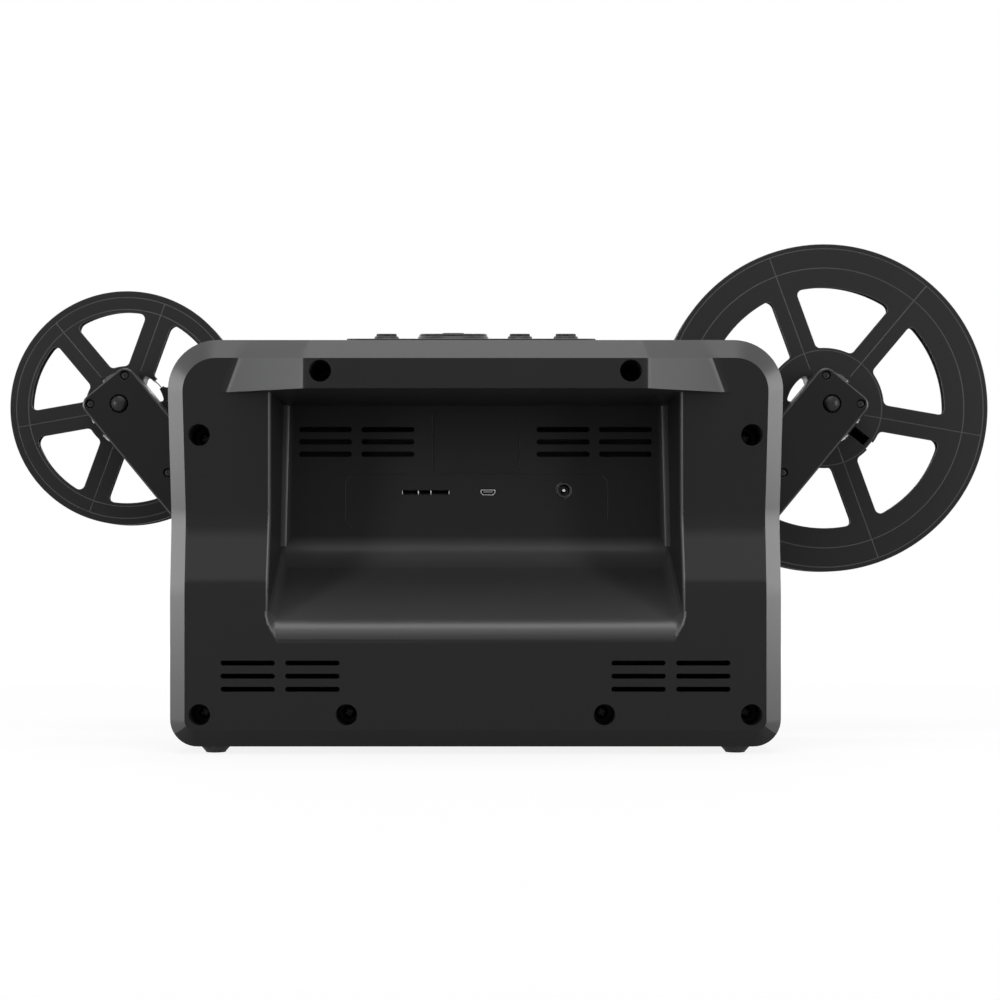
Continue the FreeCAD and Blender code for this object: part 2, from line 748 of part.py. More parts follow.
def dc_jack():
    x, z = dc_at
    y = (recess_back_y - dc_body[2], recess_back_y)
    body = block((x - dc_body[0] / 2, x + dc_body[0] / 2), y, (z - dc_body[1] / 2, z + dc_body[1] / 2))
    body = body.makeFillet(1.0, [e for e in body.Edges if runs_along(e, V(0, 1, 0)) and middle(e).z > z])
    nose = rod_y(dc_nose_r, x, z, (y[1] - 1, recess_wall_y - panel_depth))
    bore = rod_y(dc_bore_r, x, z, (y[0] + 3, recess_wall_y + 1))
    pin = rod_y(dc_pin_r, x, z, (y[0] + 2, recess_back_y))
    pin = pin.makeFillet(0.5, [e for e in pin.Edges if abs(middle(e).y - recess_back_y) < 0.01])
    return fuse([fuse([body, nose]).cut(bore), pin])


# Film deck, gate and camera

def deck_body():
    low = block((-deck_half_width, deck_half_width), (deck_front_y, front_y), deck_z)
    corners = [e for e in low.Edges if runs_along(e, V(0, 0, 1)) and middle(e).y < front_y - 1]
    low = low.makeFillet(deck_corner_r, corners)
    low = low.makeFillet(deck_edge_r, [e for e in low.Edges if middle(e).y < front_y - 0.1
                                       and abs(middle(e).z - deck_z[1]) < 0.01])
    track = block((-track_half_width, track_half_width), (deck_front_y, front_y), (deck_z[1] - 4, track_z))
    shoulders = [e for e in track.Edges if runs_along(e, V(0, 1, 0)) and middle(e).z > deck_z[1]]
    track = track.makeFillet(track_corner_r, shoulders)
    return fuse([low, track])


def claw_way(margin, gap, z):
    """The slot that the claw's tip runs in."""
    travel = claw_stroke / 2 + margin
    return block((claw_x - travel, claw_x + travel), (claw_y[0] - gap, claw_y[1] + gap), z)


def film_deck():
    floor_z = track_z - channel_depth
    inside = (deck_front_y + deck_wall, front_y + 1)
    cuts = [block((-deck_half_width + deck_wall + 4, deck_half_width - deck_wall - 4), inside,
                  (deck_z[0] + deck_wall, deck_z[1] - deck_wall)),
            block((-track_half_width + deck_wall, track_half_width - deck_wall), inside,
                  (deck_z[1] - 2 * deck_wall, floor_z - 2.0))]
    edge = film_width / 2 + channel_clearance
    cuts.append(block((-reach, reach), (film_y - edge, film_y + edge), (floor_z, track_z + 5)))
    cuts.append(block((-aperture_half[0], aperture_half[0]),
                      (film_y - aperture_half[1], film_y + aperture_half[1]), (deck_z[1], track_z)))
    cuts.append(claw_way(1.2, face_gap, (deck_z[1], track_z)))
    ears = []
    for side in (-1, 1):
        x = sorted((side * (door_half_width + hinge_knuckle_r + face_gap),
                    side * (door_half_width + hinge_knuckle_r + face_gap + hinge_ear)))
        ears.append(rod_x(hinge_knuckle_r, hinge_y, hinge_z, x))
        ears.append(block(x, (hinge_y - hinge_knuckle_r, hinge_y + hinge_knuckle_r), (track_z - 1, hinge_z)))
    rail_x = (claw_x + claw_plate[0] - 4, claw_x + claw_plate[1] + 4)
    rail = block(rail_x, (claw_y[0] - 1.8, claw_y[1] + 0.9), (deck_z[0] + deck_wall, claw_rail_top))
    rail = rail.cut(block((-reach, reach), (claw_y[0] - face_gap, claw_y[1] + face_gap),
                          (claw_z[0] - face_gap, claw_rail_top + 1)))
    bore = rod_x(hinge_pin_r + running_gap, hinge_y, hinge_z, (-reach, reach))
    return fuse([deck_body().cut(Part.makeCompound(cuts)), rail] + ears).cut(bore)


def light_panel():
    top = track_z - channel_depth - 2.0
    half_depth = light_half_width - 3
    frame = block((-light_half_width, light_half_width), (film_y - half_depth, film_y + half_depth),
                  (top - light_thick, top))
    lens = block((-aperture_half[0] + face_gap, aperture_half[0] - face_gap),
                 (film_y - aperture_half[1] + face_gap, film_y + aperture_half[1] - face_gap), (top, top + 1.6))
    return fuse([frame, lens])


def gate_door():
    low = track_z + door_gap
    plate = block((-door_half_width, door_half_width), (door_front_y, hinge_y - hinge_knuckle_r + 0.6),
                  (low, low + door_thick))
    corners = [e for e in plate.Edges if runs_along(e, V(0, 0, 1)) and middle(e).y < film_y]
    plate = plate.makeFillet(door_corner_r, corners)
    lip = block((-door_lip[0], door_lip[0]), (door_front_y - door_lip[1], door_front_y + 2),
                (low + 0.6, low + door_thick))
    corners = [e for e in lip.Edges if runs_along(e, V(0, 0, 1)) and middle(e).y < door_front_y]
    lip = lip.makeFillet(2.0, corners)
    knuckle = rod_x(hinge_knuckle_r, hinge_y, hinge_z, (-door_half_width - 2, door_half_width + 2))
    window = block((-aperture_half[0] - 1, aperture_half[0] + 1),
                   (film_y - aperture_half[1] - 1, film_y + aperture_half[1]), (low - 1, low + door_thick + 1))
    tip_way = claw_way(1.5, 2 * face_gap, (low - 1, low + door_thick + 1))
    bore = rod_x(hinge_pin_r + running_gap, hinge_y, hinge_z, (-reach, reach))
    door = fuse([plate, lip, knuckle]).cut(Part.makeCompound([window, tip_way, bore]))
    edges = [e for e in door.Edges if abs(middle(e).z - low - door_thick) < 0.01
             and abs(middle(e).y - door_front_y) < 0.01]
    return door.makeChamfer(0.6, edges)


def pressure_plate():
    top = track_z + door_gap
    film_top = track_z - channel_depth + 0.2 + face_gap
    edge = film_width / 2 - face_gap
    plate = block((-pad_half_width, pad_half_width), (film_y - edge, film_y + edge), (film_top, top))
    ends = [e for e in plate.Edges if runs_along(e, V(0, 1, 0)) and middle(e).z < top - 0.1]
    plate = plate.makeChamfer(0.3, ends)
    window = block((-aperture_half[0] - 1, aperture_half[0] + 1),
                   (film_y - aperture_half[1] + 1, film_y + aperture_half[1] - 1.6), (film_top - 1, top + 1))
    return plate.cut(window).cut(claw_way(1.5, face_gap, (film_top - 1, top + 1)))


def hinge_pin():
    end = door_half_width + hinge_knuckle_r + face_gap + hinge_ear
    return rod_x(hinge_pin_r, hinge_y, hinge_z, (-end, end))


def roller_span():
    return (film_y - film_width / 2 - roller_flange - channel_clearance,
            film_y + film_width / 2 + roller_flange + channel_clearance)


def guide_roller(x, z):
    low, high = roller_span()
    core = rod_y(roller_r, x, z, (low, high))
    rims = [rod_y(roller_flange_r, x, z, (low, low + roller_flange)),
            rod_y(roller_flange_r, x, z, (high - roller_flange, high))]
    solid = fuse([core] + rims).cut(rod_y(roller_pin_r + running_gap, x, z, (low - 1, high + 1)))
    outer = [e for e in solid.Edges if abs(e.BoundBox.XLength - 2 * roller_flange_r) < 0.01
             and (abs(middle(e).y - low) < 0.01 or abs(middle(e).y - high) < 0.01)]
    return solid.makeChamfer(0.3, outer)


def roller_pins():
    low, high = roller_span()
    pins = []
    for side in (-1, 1):
        for at in roller_at:
            x, z = side * at[0], at[1]
            pin = rod_y(roller_pin_r, x, z, (low - 1.2, front_y + 3 * wall))
            head = rod_y(2 * roller_pin_r, x, z, (low - face_gap - 1.0, low - face_gap))
            rim = [e for e in head.Edges if abs(middle(e).y - head.BoundBox.YMin) < 0.01]
            head = head.makeFillet(0.4, rim)
            spacer = rod_y(2 * roller_pin_r, x, z, (high + face_gap, front_y))
            pins.append(fuse([pin, head, spacer]))
    return Part.makeCompound(pins)


def camera_head():
    head = block((-head_half_width, head_half_width), (head_front_y, front_y), head_z)
    corners = [e for e in head.Edges if runs_along(e, V(0, 0, 1)) and middle(e).y < front_y - 1]
    head = head.makeFillet(head_corner_r, corners)
    crown = [e for e in head.Edges if middle(e).y < front_y - 0.1 and abs(middle(e).z - head_z[1]) < 0.01]
    head = head.makeFillet(head_crown_r, crown)
    half = head_half_width - head_wall
    hollow = block((-half, half), (head_front_y + head_wall, front_y + 1),
                   (head_z[0] + head_wall, head_z[1] - head_crown_r))
    lens_way = rod_z(lens_r + running_gap, 0, film_y, (head_z[0] - 1, head_z[0] + head_wall + 1))
    return head.cut(hollow).cut(lens_way)


def lens_barrel():
    seat = head_z[0] + head_wall
    barrel = fuse([rod_z(lens_r, 0, film_y, lens_z), rod_z(lens_flange_r, 0, film_y, (seat, seat + 2))])
    mouth = Part.makeCone(lens_r - 1.2, lens_r - 3.2, 3.0, V(0, film_y, lens_z[0]))
    glass = Part.makeSphere(lens_r * 1.4, V(0, film_y, lens_z[0] + 3 + lens_r * 1.2))
    return barrel.cut(mouth.cut(glass))


def sensor_board():
    board = block((-sensor_half[0], sensor_half[0]), (film_y - sensor_half[1], film_y + sensor_half[1]),
                  (lens_z[1], lens_z[1] + board_thick))
    chip = block((-5, 5), (film_y - 5, film_y + 5), (lens_z[1] + board_thick, lens_z[1] + board_thick + 1.5))
    return fuse([board, chip])


crank_x = claw_x + crank_offset


def film_claw():
    plate = round_along(block((claw_x + claw_plate[0], claw_x + claw_plate[1]), claw_y, claw_z), 1.5, V(0, 1, 0))
    tip = prism([V(claw_x - 1.0, claw_y[0], claw_z[1] - 2), V(claw_x + 1.0, claw_y[0], claw_z[1] - 2),
                 V(claw_x + 0.4, claw_y[0], track_z + 0.2), V(claw_x - 0.4, claw_y[0], track_z + 0.2)],
                V(0, claw_y[1] - claw_y[0], 0))
    # the pin's circle and the claw's stroke can add up, so the window is a whole stroke wide to each side
    wide = claw_stroke + crank_pin_r + face_gap
    high = claw_stroke / 2 + crank_pin_r + face_gap
    window = round_along(block((crank_x - wide, crank_x + wide), (claw_y[0] - 1, claw_y[1] + 1),
                               (crank_z - high, crank_z + high)), 1.0, V(0, 1, 0))
    return fuse([plate, tip]).cut(window)


def claw_crank():
    y = (claw_y[1] + 1.1, claw_y[1] + 3.1)
    disc = rod_y(crank_disc_r, crank_x, crank_z, y)
    stub = rod_y(crank_pin_r, crank_x, crank_z + claw_stroke / 2, (claw_y[0] - 0.4, y[0]))
    return fuse([disc, stub]).cut(rod_y(motor_shaft_r + running_gap, crank_x, crank_z, (y[0] - 1, y[1] + 1)))


def motor(x, z, radius, length, face_y, shaft_end_y):
    can = rod_y(radius, x, z, (face_y, face_y + length))
    can = can.makeFillet(1.5, [e for e in can.Edges if abs(middle(e).y - face_y - length) < 0.01])
    ears = block((x - 3.5, x + 3.5), (face_y, face_y + 1.2), (z - radius - 4, z + radius + 4))
    ears = round_along(ears, 3.0, V(0, 1, 0))
    shaft = rod_y(motor_shaft_r, x, z, (shaft_end_y, face_y + 1))
    return fuse([can, ears, shaft])


# Arms, built along +X from the pivot at the origin and then turned into place

def arm_place(shape, side):
    shape = shape.copy()
    shape.rotate(V(0, 0, 0), V(0, 1, 0), -arm_angle_deg)
    shape.translate(V(pivot_x, 0, pivot_z))
    if side < 0:
        shape = shape.mirror(V(0, 0, 0), V(1, 0, 0))
    return shape


def arm_slab(inset, y):
    half = arm_width / 2 - inset
    bar = block((0, arm_length + arm_tip - inset), y, (-half, half))
    corners = [e for e in bar.Edges if runs_along(e, V(0, 1, 0)) and middle(e).x > 1]
    return fuse([bar.makeFillet(arm_tip_r - inset / 2, corners), rod_y(half, 0, 0, y)])


def arm_screw_places():
    return [(arm_length + u, w) for u, w in arm_screw_at]


def arm_body():
    seam = arm_y[1] - arm_cover_thick
    tray = arm_slab(0, (arm_y[0], seam)).cut(arm_slab(arm_wall, (arm_y[0] + arm_floor, seam + 1)))
    floor_y = arm_y[0] + arm_floor
    adds = [rod_y(brake_disc_r + 0.5, arm_length, 0, (floor_y - 1, arm_y[0] + bearing_length))]
    adds += [rod_y(arm_post_r, u, w, (floor_y - 1, seam)) for u, w in arm_screw_places()]
    cuts = [rod_y(journal_r + running_gap, arm_length, 0, (-reach, reach))]
    cuts += [rod_y(arm_screw_r + running_gap, u, w, (floor_y, seam + 1)) for u, w in arm_screw_places()]
    body = fuse([tray] + adds).cut(Part.makeCompound(cuts))
    rim = [e for e in body.Edges if abs(middle(e).y - arm_y[0]) < 0.01 and e.BoundBox.XLength > 3
           and abs(middle(e).x - arm_length) > journal_r + 1]
    return body.makeFillet(1.2, rim)


def arm_cover():
    seam = arm_y[1] - arm_cover_thick
    plate = arm_slab(0, (seam, arm_y[1]))
    rim = [e for e in plate.Edges if abs(middle(e).y - arm_y[1]) < 0.01]
    plate = plate.makeChamfer(arm_cover_bevel, rim)
    sleeve = rod_y(pivot_r + wall, 0, 0, (seam - pivot_sleeve, seam + 1))
    cuts = [rod_y(pivot_r + running_gap, 0, 0, (-reach, reach)),
            rod_y(dome_hole_r, arm_length, 0, (seam - 1, arm_y[1] + 1))]
    for u, w in arm_screw_places():
        cuts.append(rod_y(arm_screw_head_r + face_gap, u, w, (arm_y[1] - arm_screw_head - 0.6, arm_y[1] + 1)))
        cuts.append(rod_y(arm_screw_r + 2 * running_gap, u, w, (seam - 1, arm_y[1])))
    return fuse([plate, sleeve]).cut(Part.makeCompound(cuts))


def arm_screws():
    screws = []
    for u, w in arm_screw_places():
        seat = arm_y[1] - arm_screw_head - 0.6
        head = rod_y(arm_screw_head_r, u, w, (seat, seat + arm_screw_head))
        head = head.makeFillet(0.5, [e for e in head.Edges if abs(middle(e).y - seat - arm_screw_head) < 0.01])
        cross = [block((u - 1.3, u + 1.3), (seat + 0.6, seat + 2), (w - 0.3, w + 0.3)),
                 block((u - 0.3, u + 0.3), (seat + 0.6, seat + 2), (w - 1.3, w + 1.3))]
        shank = rod_y(arm_screw_r, u, w, (seat - 9, seat + 0.5))
        screws.append(fuse([head, shank]).cut(Part.makeCompound(cross)))
    return Part.makeCompound(screws)


def arm_pivot():
    sleeve_end = arm_y[1] - arm_cover_thick - pivot_sleeve
    shank = rod_y(pivot_r, 0, 0, (sleeve_end - face_gap, ledge_y + pivot_depth))
    head = rod_y(pivot_head_r, 0, 0, (sleeve_end - face_gap - pivot_head, sleeve_end - face_gap))
    return fuse([shank, head]).cut(rod_y(pivot_bore_r, 0, 0, (-reach, reach)))


def spindle():
    collar = (arm_y[0] - face_gap - 2.9, arm_y[0] - face_gap)
    points = [(0, reel_shaft_end_y), (reel_shaft_r - 1.2, reel_shaft_end_y),
              (reel_shaft_r, reel_shaft_end_y + 2.0),
              (reel_shaft_r, collar[0]), (collar_r - 0.6, collar[0]), (collar_r, collar[0] + 0.6),
              (collar_r, collar[1]), (journal_r, collar[1]), (journal_r, dome_y - 1.8),
              (journal_r * 0.8, dome_y - 0.7), (journal_r * 0.4, dome_y - 0.12), (0, dome_y)]
    body = turned(points, arm_length, 0)
    fins = []
    for k in range(3):
        fin = block((0, key_fin[1]), (key_fin_end_y, collar[0] + 0.5), (-key_fin[0] / 2, key_fin[0] / 2))
        fin.rotate(V(0, 0, 0), V(0, 1, 0), 120 * k)
        fin.translate(V(arm_length, 0, 0))
        fins.append(fin)
    return fuse([body] + fins)


inner_disc_y = arm_y[0] + bearing_length + felt_thick + face_gap


def brake_disc():
    y = (inner_disc_y, inner_disc_y + brake_disc_thick)
    disc = rod_y(brake_disc_r, arm_length, 0, y)
    sleeve = rod_y(journal_r + 1.8, arm_length, 0, (y[1], y[1] + 1.5))
    return fuse([disc, sleeve]).cut(rod_y(journal_r, arm_length, 0, (y[0] - 1, y[1] + 3)))


def felt_washer():
    y = (arm_y[0] + bearing_length, arm_y[0] + bearing_length + felt_thick)
    return rod_y(brake_disc_r, arm_length, 0, y).cut(rod_y(journal_r + face_gap, arm_length, 0, y))


def pulley(u, radius, bore_r):
    low = inner_disc_y
    high = low + belt_width + 2 * pulley_flange + 0.4
    core = rod_y(radius, u, 0, (low, high))
    rims = [rod_y(radius + pulley_rim, u, 0, (low, low + pulley_flange)),
            rod_y(radius + pulley_rim, u, 0, (high - pulley_flange, high))]
    return fuse([core] + rims).cut(rod_y(bore_r, u, 0, (low - 1, high + 1)))


def belt_outline(grow):
    """The outline round both pulleys, a running gap off their treads."""
    big, small = spindle_pulley_r + grow, motor_pulley_r + grow
    lean = math.asin((big - small) / arm_length)
    reach_x, reach_z = math.sin(lean), math.cos(lean)
    far = [V(arm_length + big * -reach_x, 0, side * big * reach_z) for side in (1, -1)]
    near = [V(small * -reach_x, 0, side * small * reach_z) for side in (1, -1)]
    edges = [Part.LineSegment(near[0], far[0]).toShape(),
             Part.Arc(far[0], V(arm_length + big, 0, 0), far[1]).toShape(),
             Part.LineSegment(far[1], near[1]).toShape(),
             Part.Arc(near[1], V(-small, 0, 0), near[0]).toShape()]
    return Part.Face(Part.Wire(edges))


def drive_belt():
    low = inner_disc_y + pulley_flange + 0.2
    outer = belt_outline(face_gap + belt_thick).extrude(V(0, belt_width, 0))
    inner = belt_outline(face_gap).extrude(V(0, belt_width, 0))
    belt = outer.cut(inner)
    belt.translate(V(0, low, 0))
    return belt


# Reels

def photo_turn(shape, degrees, x, z):
    """Turns a shape about Y as the rear view counts angles, from -X towards +Z."""
    shape.rotate(V(x, 0, z), V(0, 1, 0), degrees)
    return shape


def reel_openings(size, x, z, y):
    ring = rod_y(size["window"], x, z, y).cut(rod_y(size["hub"], x, z, y))
    spokes = []
    for k in range(window_count):
        arm = block((x - size["radius"], x), y, (z - size["spoke"] / 2, z + size["spoke"] / 2))
        spokes.append(photo_turn(arm, size["turn"] + 360 / window_count * k, x, z))
    windows = ring.cut(Part.makeCompound(spokes))
    windows = Part.makeCompound([round_along(w, window_r, V(0, 1, 0)) for w in windows.Solids])
    core = rod_y(hub_open_r, x, z, y).cut(rod_y(hub_core_r, x, z, y))
    lands = []
    for k in range(hub_spokes):
        start = 0 if x < 0 else 180
        arm = block((x, x + size["radius"]), y, (z - hub_spoke / 2, z + hub_spoke / 2))
        lands.append(photo_turn(arm, start + 360 / hub_spokes * k, x, z))
    inner = core.cut(Part.makeCompound(lands))
    return windows, Part.makeCompound([round_along(w, 1.2, V(0, 1, 0)) for w in inner.Solids])


def reel_bore(x, z, y):
    cuts = [rod_y(reel_shaft_r + hub_bore_gap, x, z, y)]
    for k in range(3):
        notch = block((0, key_fin[1] + 0.4), y, (-key_fin[0] / 2 - 0.25, key_fin[0] / 2 + 0.25))
        notch.rotate(V(0, 0, 0), V(0, 1, 0), 120 * k)
        cuts.append(notch)
    for notch in cuts[1:]:
        notch.rotate(V(0, 0, 0), V(0, 1, 0), -arm_angle_deg)
        if x < 0:
            notch.rotate(V(0, 0, 0), V(0, 1, 0), 2 * arm_angle_deg + 180)
        notch.translate(V(x, 0, z))
    return fuse(cuts)


def reel_pieces(size, side):
    x, z = side * spindle_x, spindle_z
    through = (reel_y[0] - 1, reel_y[1] + 1)
    windows, inner = reel_openings(size, x, z, through)
    bore = reel_bore(x, z, through)
    rear_y = (reel_y[1] - flange_thick, reel_y[1])
    front_y_pair = (reel_y[0], reel_y[0] + flange_thick)
    flanges = []
    for y, out in ((rear_y, -1), (front_y_pair, 1)):
        disc = rod_y(size["radius"], x, z, y)
        bead_y = (y[0] - flange_bead[1], y[0]) if out < 0 else (y[1], y[1] + flange_bead[1])
        bead = rod_y(size["radius"], x, z, bead_y).cut(rod_y(size["radius"] - flange_bead[0], x, z, bead_y))
        disc = fuse([disc, bead])
        rims = [e for e in disc.Edges if abs(e.BoundBox.XLength - 2 * size["radius"]) < 0.01]
        disc = disc.makeFillet(0.5, rims)
        flanges.append(disc.cut(windows).cut(inner).cut(bore))
    hub_y = (reel_y[0] + flange_thick, reel_y[1] - flange_thick)
    hub = rod_y(size["hub"], x, z, hub_y)
    if size["hub"] - hub_wall > hub_open_r:
        groove = (hub_y[0] + flange_thick, hub_y[1] - flange_thick)
        ring = rod_y(size["hub"] - hub_wall, x, z, groove).cut(rod_y(hub_open_r + hub_wall, x, z, groove))
        hub = hub.cut(ring)
    slit = block((x, x + size["radius"]), through, (z - film_slot / 2, z + film_slot / 2))
    keep = rod_y(hub_open_r - 1, x, z, through)
    slit = photo_turn(slit, 144 if x < 0 else -134, x, z).cut(keep)
    hub = hub.cut(inner).cut(bore).cut(slit)
    flanges[0] = flanges[0].cut(slit.common(rod_y(size["hub"] - 0.3, x, z, through)))
    return flanges[0], hub, flanges[1]


# Small fixings

def case_screws():
    screws = []
    for x, z in well_places():
        top = well_seat_y + case_screw_head
        head = rod_y(case_screw_head_r, x, z, (well_seat_y, top))
        head = head.makeFillet(0.8, [e for e in head.Edges if abs(middle(e).y - top) < 0.01])
        cross = [block((x - 2, x + 2), (top - 1.2, top + 1), (z - 0.45, z + 0.45)),
                 block((x - 0.45, x + 0.45), (top - 1.2, top + 1), (z - 2, z + 2))]
        shank = rod_y(case_screw_r, x, z, (well_seat_y - case_screw_length, well_seat_y + 0.5))
        screws.append(fuse([head, shank]).cut(Part.makeCompound(cross)))
    return Part.makeCompound(screws)


def feet():
    places = [(side * x, y) for x, y in foot_at for side in (-1, 1)]
    return Part.makeCompound([Part.makeCone(foot_r[0], foot_r[1], foot_height, V(x, y, 0)) for x, y in places])


def main():
    save("rear_cover", rear_cover())
    save("front_shell", front_shell())
    save("case_screws", case_screws())
    save("feet", feet())
    save("screen_glass", screen_glass())
    save("lcd_module", lcd_module())
    save("main_board", main_board())
    save("sd_socket", sd_socket())
    save("usb_socket", usb_socket())
    save("dc_jack", dc_jack())
    save("keypad_panel", keypad_panel())
    save("key_board", key_board())
    for name, x in round_keys.items():
        save(name, round_key(x, round_key_r, 0))
    save("ok_key", round_key(pad_x, ok_key_r, 0.4))
    for name, key in pad_keys().items():
        save(name, key)
    save("film_deck", film_deck())
    save("light_panel", light_panel())
    save("gate_door", gate_door())
    save("pressure_plate", pressure_plate())
    save("gate_hinge_pin", hinge_pin())
    for side, word in ((-1, "supply"), (1, "take_up")):
        for at, place in zip(roller_at, ("inner", "outer")):
            save(word + "_" + place + "_roller", guide_roller(side * at[0], at[1]))
    save("roller_pins", roller_pins())
    save("camera_head", camera_head())
    save("lens_barrel", lens_barrel())
    save("sensor_board", sensor_board())
    save("film_claw", film_claw())
    save("claw_crank", claw_crank())
    save("claw_motor", motor(crank_x, crank_z, claw_motor_r, claw_motor_length, front_y + wall, claw_y[1] + 1.1))
    for side, word, size in ((-1, "supply", large_reel), (1, "take_up", small_reel)):
        save(word + "_arm", arm_place(arm_body(), side))
        save(word + "_arm_cover", arm_place(arm_cover(), side))
        save(word + "_arm_screws", arm_place(arm_screws(), side))
        save(word + "_arm_pivot", arm_place(arm_pivot(), side))
        save(word + "_spindle", arm_place(spindle(), side))
        rear, hub, front = reel_pieces(size, side)
        save(word + "_reel_rear_flange", rear)
        save(word + "_reel_hub", hub)
        save(word + "_reel_front_flange", front)
    save("supply_brake_disc", arm_place(brake_disc(), -1))
    save("supply_felt_washer", arm_place(felt_washer(), -1))
    save("take_up_spindle_pulley", arm_place(pulley(arm_length, spindle_pulley_r, journal_r), 1))
    save("take_up_motor_pulley", arm_place(pulley(0, motor_pulley_r, motor_shaft_r + running_gap), 1))
    save("take_up_belt", arm_place(drive_belt(), 1))
    motor_face = ledge_y + pivot_depth + wall
    save("take_up_motor", motor(pivot_x, pivot_z, take_up_motor_r, take_up_motor_length, motor_face,
                                inner_disc_y))


main()
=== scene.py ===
import json
import math

import bmesh
import bpy
from mathutils import Matrix, Vector


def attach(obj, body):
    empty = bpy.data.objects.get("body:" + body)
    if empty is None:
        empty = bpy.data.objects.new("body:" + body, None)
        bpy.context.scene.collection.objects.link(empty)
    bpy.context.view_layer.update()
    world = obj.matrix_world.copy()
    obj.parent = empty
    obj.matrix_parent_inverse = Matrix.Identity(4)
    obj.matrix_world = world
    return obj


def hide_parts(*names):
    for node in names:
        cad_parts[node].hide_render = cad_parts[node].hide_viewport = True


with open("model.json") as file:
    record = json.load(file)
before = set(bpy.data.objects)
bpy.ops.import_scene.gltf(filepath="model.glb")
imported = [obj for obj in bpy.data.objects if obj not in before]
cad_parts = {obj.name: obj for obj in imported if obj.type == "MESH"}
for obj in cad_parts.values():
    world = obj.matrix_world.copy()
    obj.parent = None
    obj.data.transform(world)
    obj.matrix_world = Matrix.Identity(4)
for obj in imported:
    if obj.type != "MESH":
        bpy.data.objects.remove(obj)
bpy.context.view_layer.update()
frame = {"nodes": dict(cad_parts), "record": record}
bodyOf = {node: body for body, nodes in frame["record"]["behaviour"]["bodies"].items() for node in nodes}
slotOf = {part["node"]: part["material_slot"] for part in frame["record"]["subparts"]}
mm = 0.001
print("frame loaded:", len(frame["nodes"]), "nodes")

# camera: level, looking at the rear face, with the lens shifted up to the photograph's framing

cameraSettings = {
    "place": (0.0, 0.895, 0.07895),
    "lens": 62.6,
    "shiftX": 0.0245,
    "shiftY": 0.093,
    "sensor": 36,
    "near": 0.01,
}
camera = bpy.data.objects.new("camera", bpy.data.cameras.new("camera"))
camera.location = cameraSettings["place"]
camera.rotation_euler = (math.radians(90), 0, math.radians(180))
camera.data.lens = cameraSettings["lens"]
camera.data.sensor_width = cameraSettings["sensor"]
camera.data.shift_x = cameraSettings["shiftX"]
camera.data.shift_y = cameraSettings["shiftY"]
camera.data.clip_start = cameraSettings["near"]
bpy.context.scene.collection.objects.link(camera)
bpy.context.scene.camera = camera


# shader maths

class Wire:  # a shader value that takes part in plain sums
    def __init__(self, graph, socket):
        self.graph = graph
        self.socket = socket

    def math(self, operation, other, swap=False):
        first, second = (other, self) if swap else (self, other)
        return self.graph.node("ShaderNodeMath", {"operation": operation}, {0: first, 1: second})

    def __add__(self, other):
        return self.math("ADD", other)

    def __radd__(self, other):
        return self.math("ADD", other, True)

    def __sub__(self, other):
        return self.math("SUBTRACT", other)

    def __rsub__(self, other):
        return self.math("SUBTRACT", other, True)

    def __mul__(self, other):
        return self.math("MULTIPLY", other)

    def __rmul__(self, other):
        return self.math("MULTIPLY", other, True)


class Graph:
    def __init__(self, name, owner=None):
        self.material = owner or bpy.data.materials.new(name)
        self.material.use_nodes = True
        self.tree = self.material.node_tree
        self.tree.nodes.clear()

    def node(self, kind, settings=None, sockets=None, output=0):
        made = self.tree.nodes.new(kind)
        for key, value in (settings or {}).items():
            setattr(made, key, value)
        for key, value in (sockets or {}).items():
            if isinstance(value, Wire):
                self.tree.links.new(value.socket, made.inputs[key])
            else:
                made.inputs[key].default_value = value
        if output is None:
            return made
        return Wire(self, made.outputs[output])

    def place(self):
        return self.node("ShaderNodeTexCoord", output="Object")

    def noise(self, where, scale, detail=2.0, roughness=0.5):
        return self.node("ShaderNodeTexNoise", None,
                         {"Vector": where, "Scale": scale, "Detail": detail, "Roughness": roughness})

    def band(self, value, low, high):
        return self.node("ShaderNodeMapRange", None,
                         {"Value": value, "From Min": 0.3, "From Max": 0.7, "To Min": low, "To Max": high})

    def fade(self, value, start, end):
        return self.node("ShaderNodeMapRange", {"interpolation_type": "SMOOTHSTEP"},
                         {"Value": value, "From Min": start, "From Max": end})

    def tint(self, factor, dark, light):
        return self.node("ShaderNodeMix", {"data_type": "RGBA"},
                         {0: factor, 6: (*dark, 1), 7: (*light, 1)}, output=2)

    def mix(self, factor, first, second):
        return self.node("ShaderNodeMix", {"data_type": "RGBA"}, {0: factor, 6: first, 7: second}, output=2)

    def bump(self, height, distance):
        return self.node("ShaderNodeBump", None, {"Height": height, "Distance": distance, "Strength": 1.0})

    def finish(self, shader):
        kind = "World" if isinstance(self.material, bpy.types.World) else "Material"
        self.node("ShaderNodeOutput" + kind, None, {"Surface": shader}, output=None)
        return self.material

    def surface(self, sockets):
        return self.finish(self.node("ShaderNodeBsdfPrincipled", None, sockets))


# bevels and the ledge are smoother than the grained faces and carry a coat, and their base colour is painted
# paler, a painted highlight on the bevels and painted light from above on the ledge: one attribute marks both
polishAndPaintedLightSettings = {"coat": 0.5, "roughness": 0.32, "pale": 2.8, "share": 0.5}

# where the painted sheen of the facets beside the ledge (a paler base colour, with some coat) fades in and
# out: up from the table, out from the middle, and the stretch of the case's height that holds them
facetPaintedSheenSettings = {
    "low": (0.083, 0.087), "high": (0.1125, 0.1045),
    "inner": (0.102, 0.1025), "outer": (0.1414, 0.141),
    "from": (0.07, 0.0701), "to": (0.1301, 0.13),
}


def scaled(colour, factor):
    return tuple(channel * factor for channel in colour)


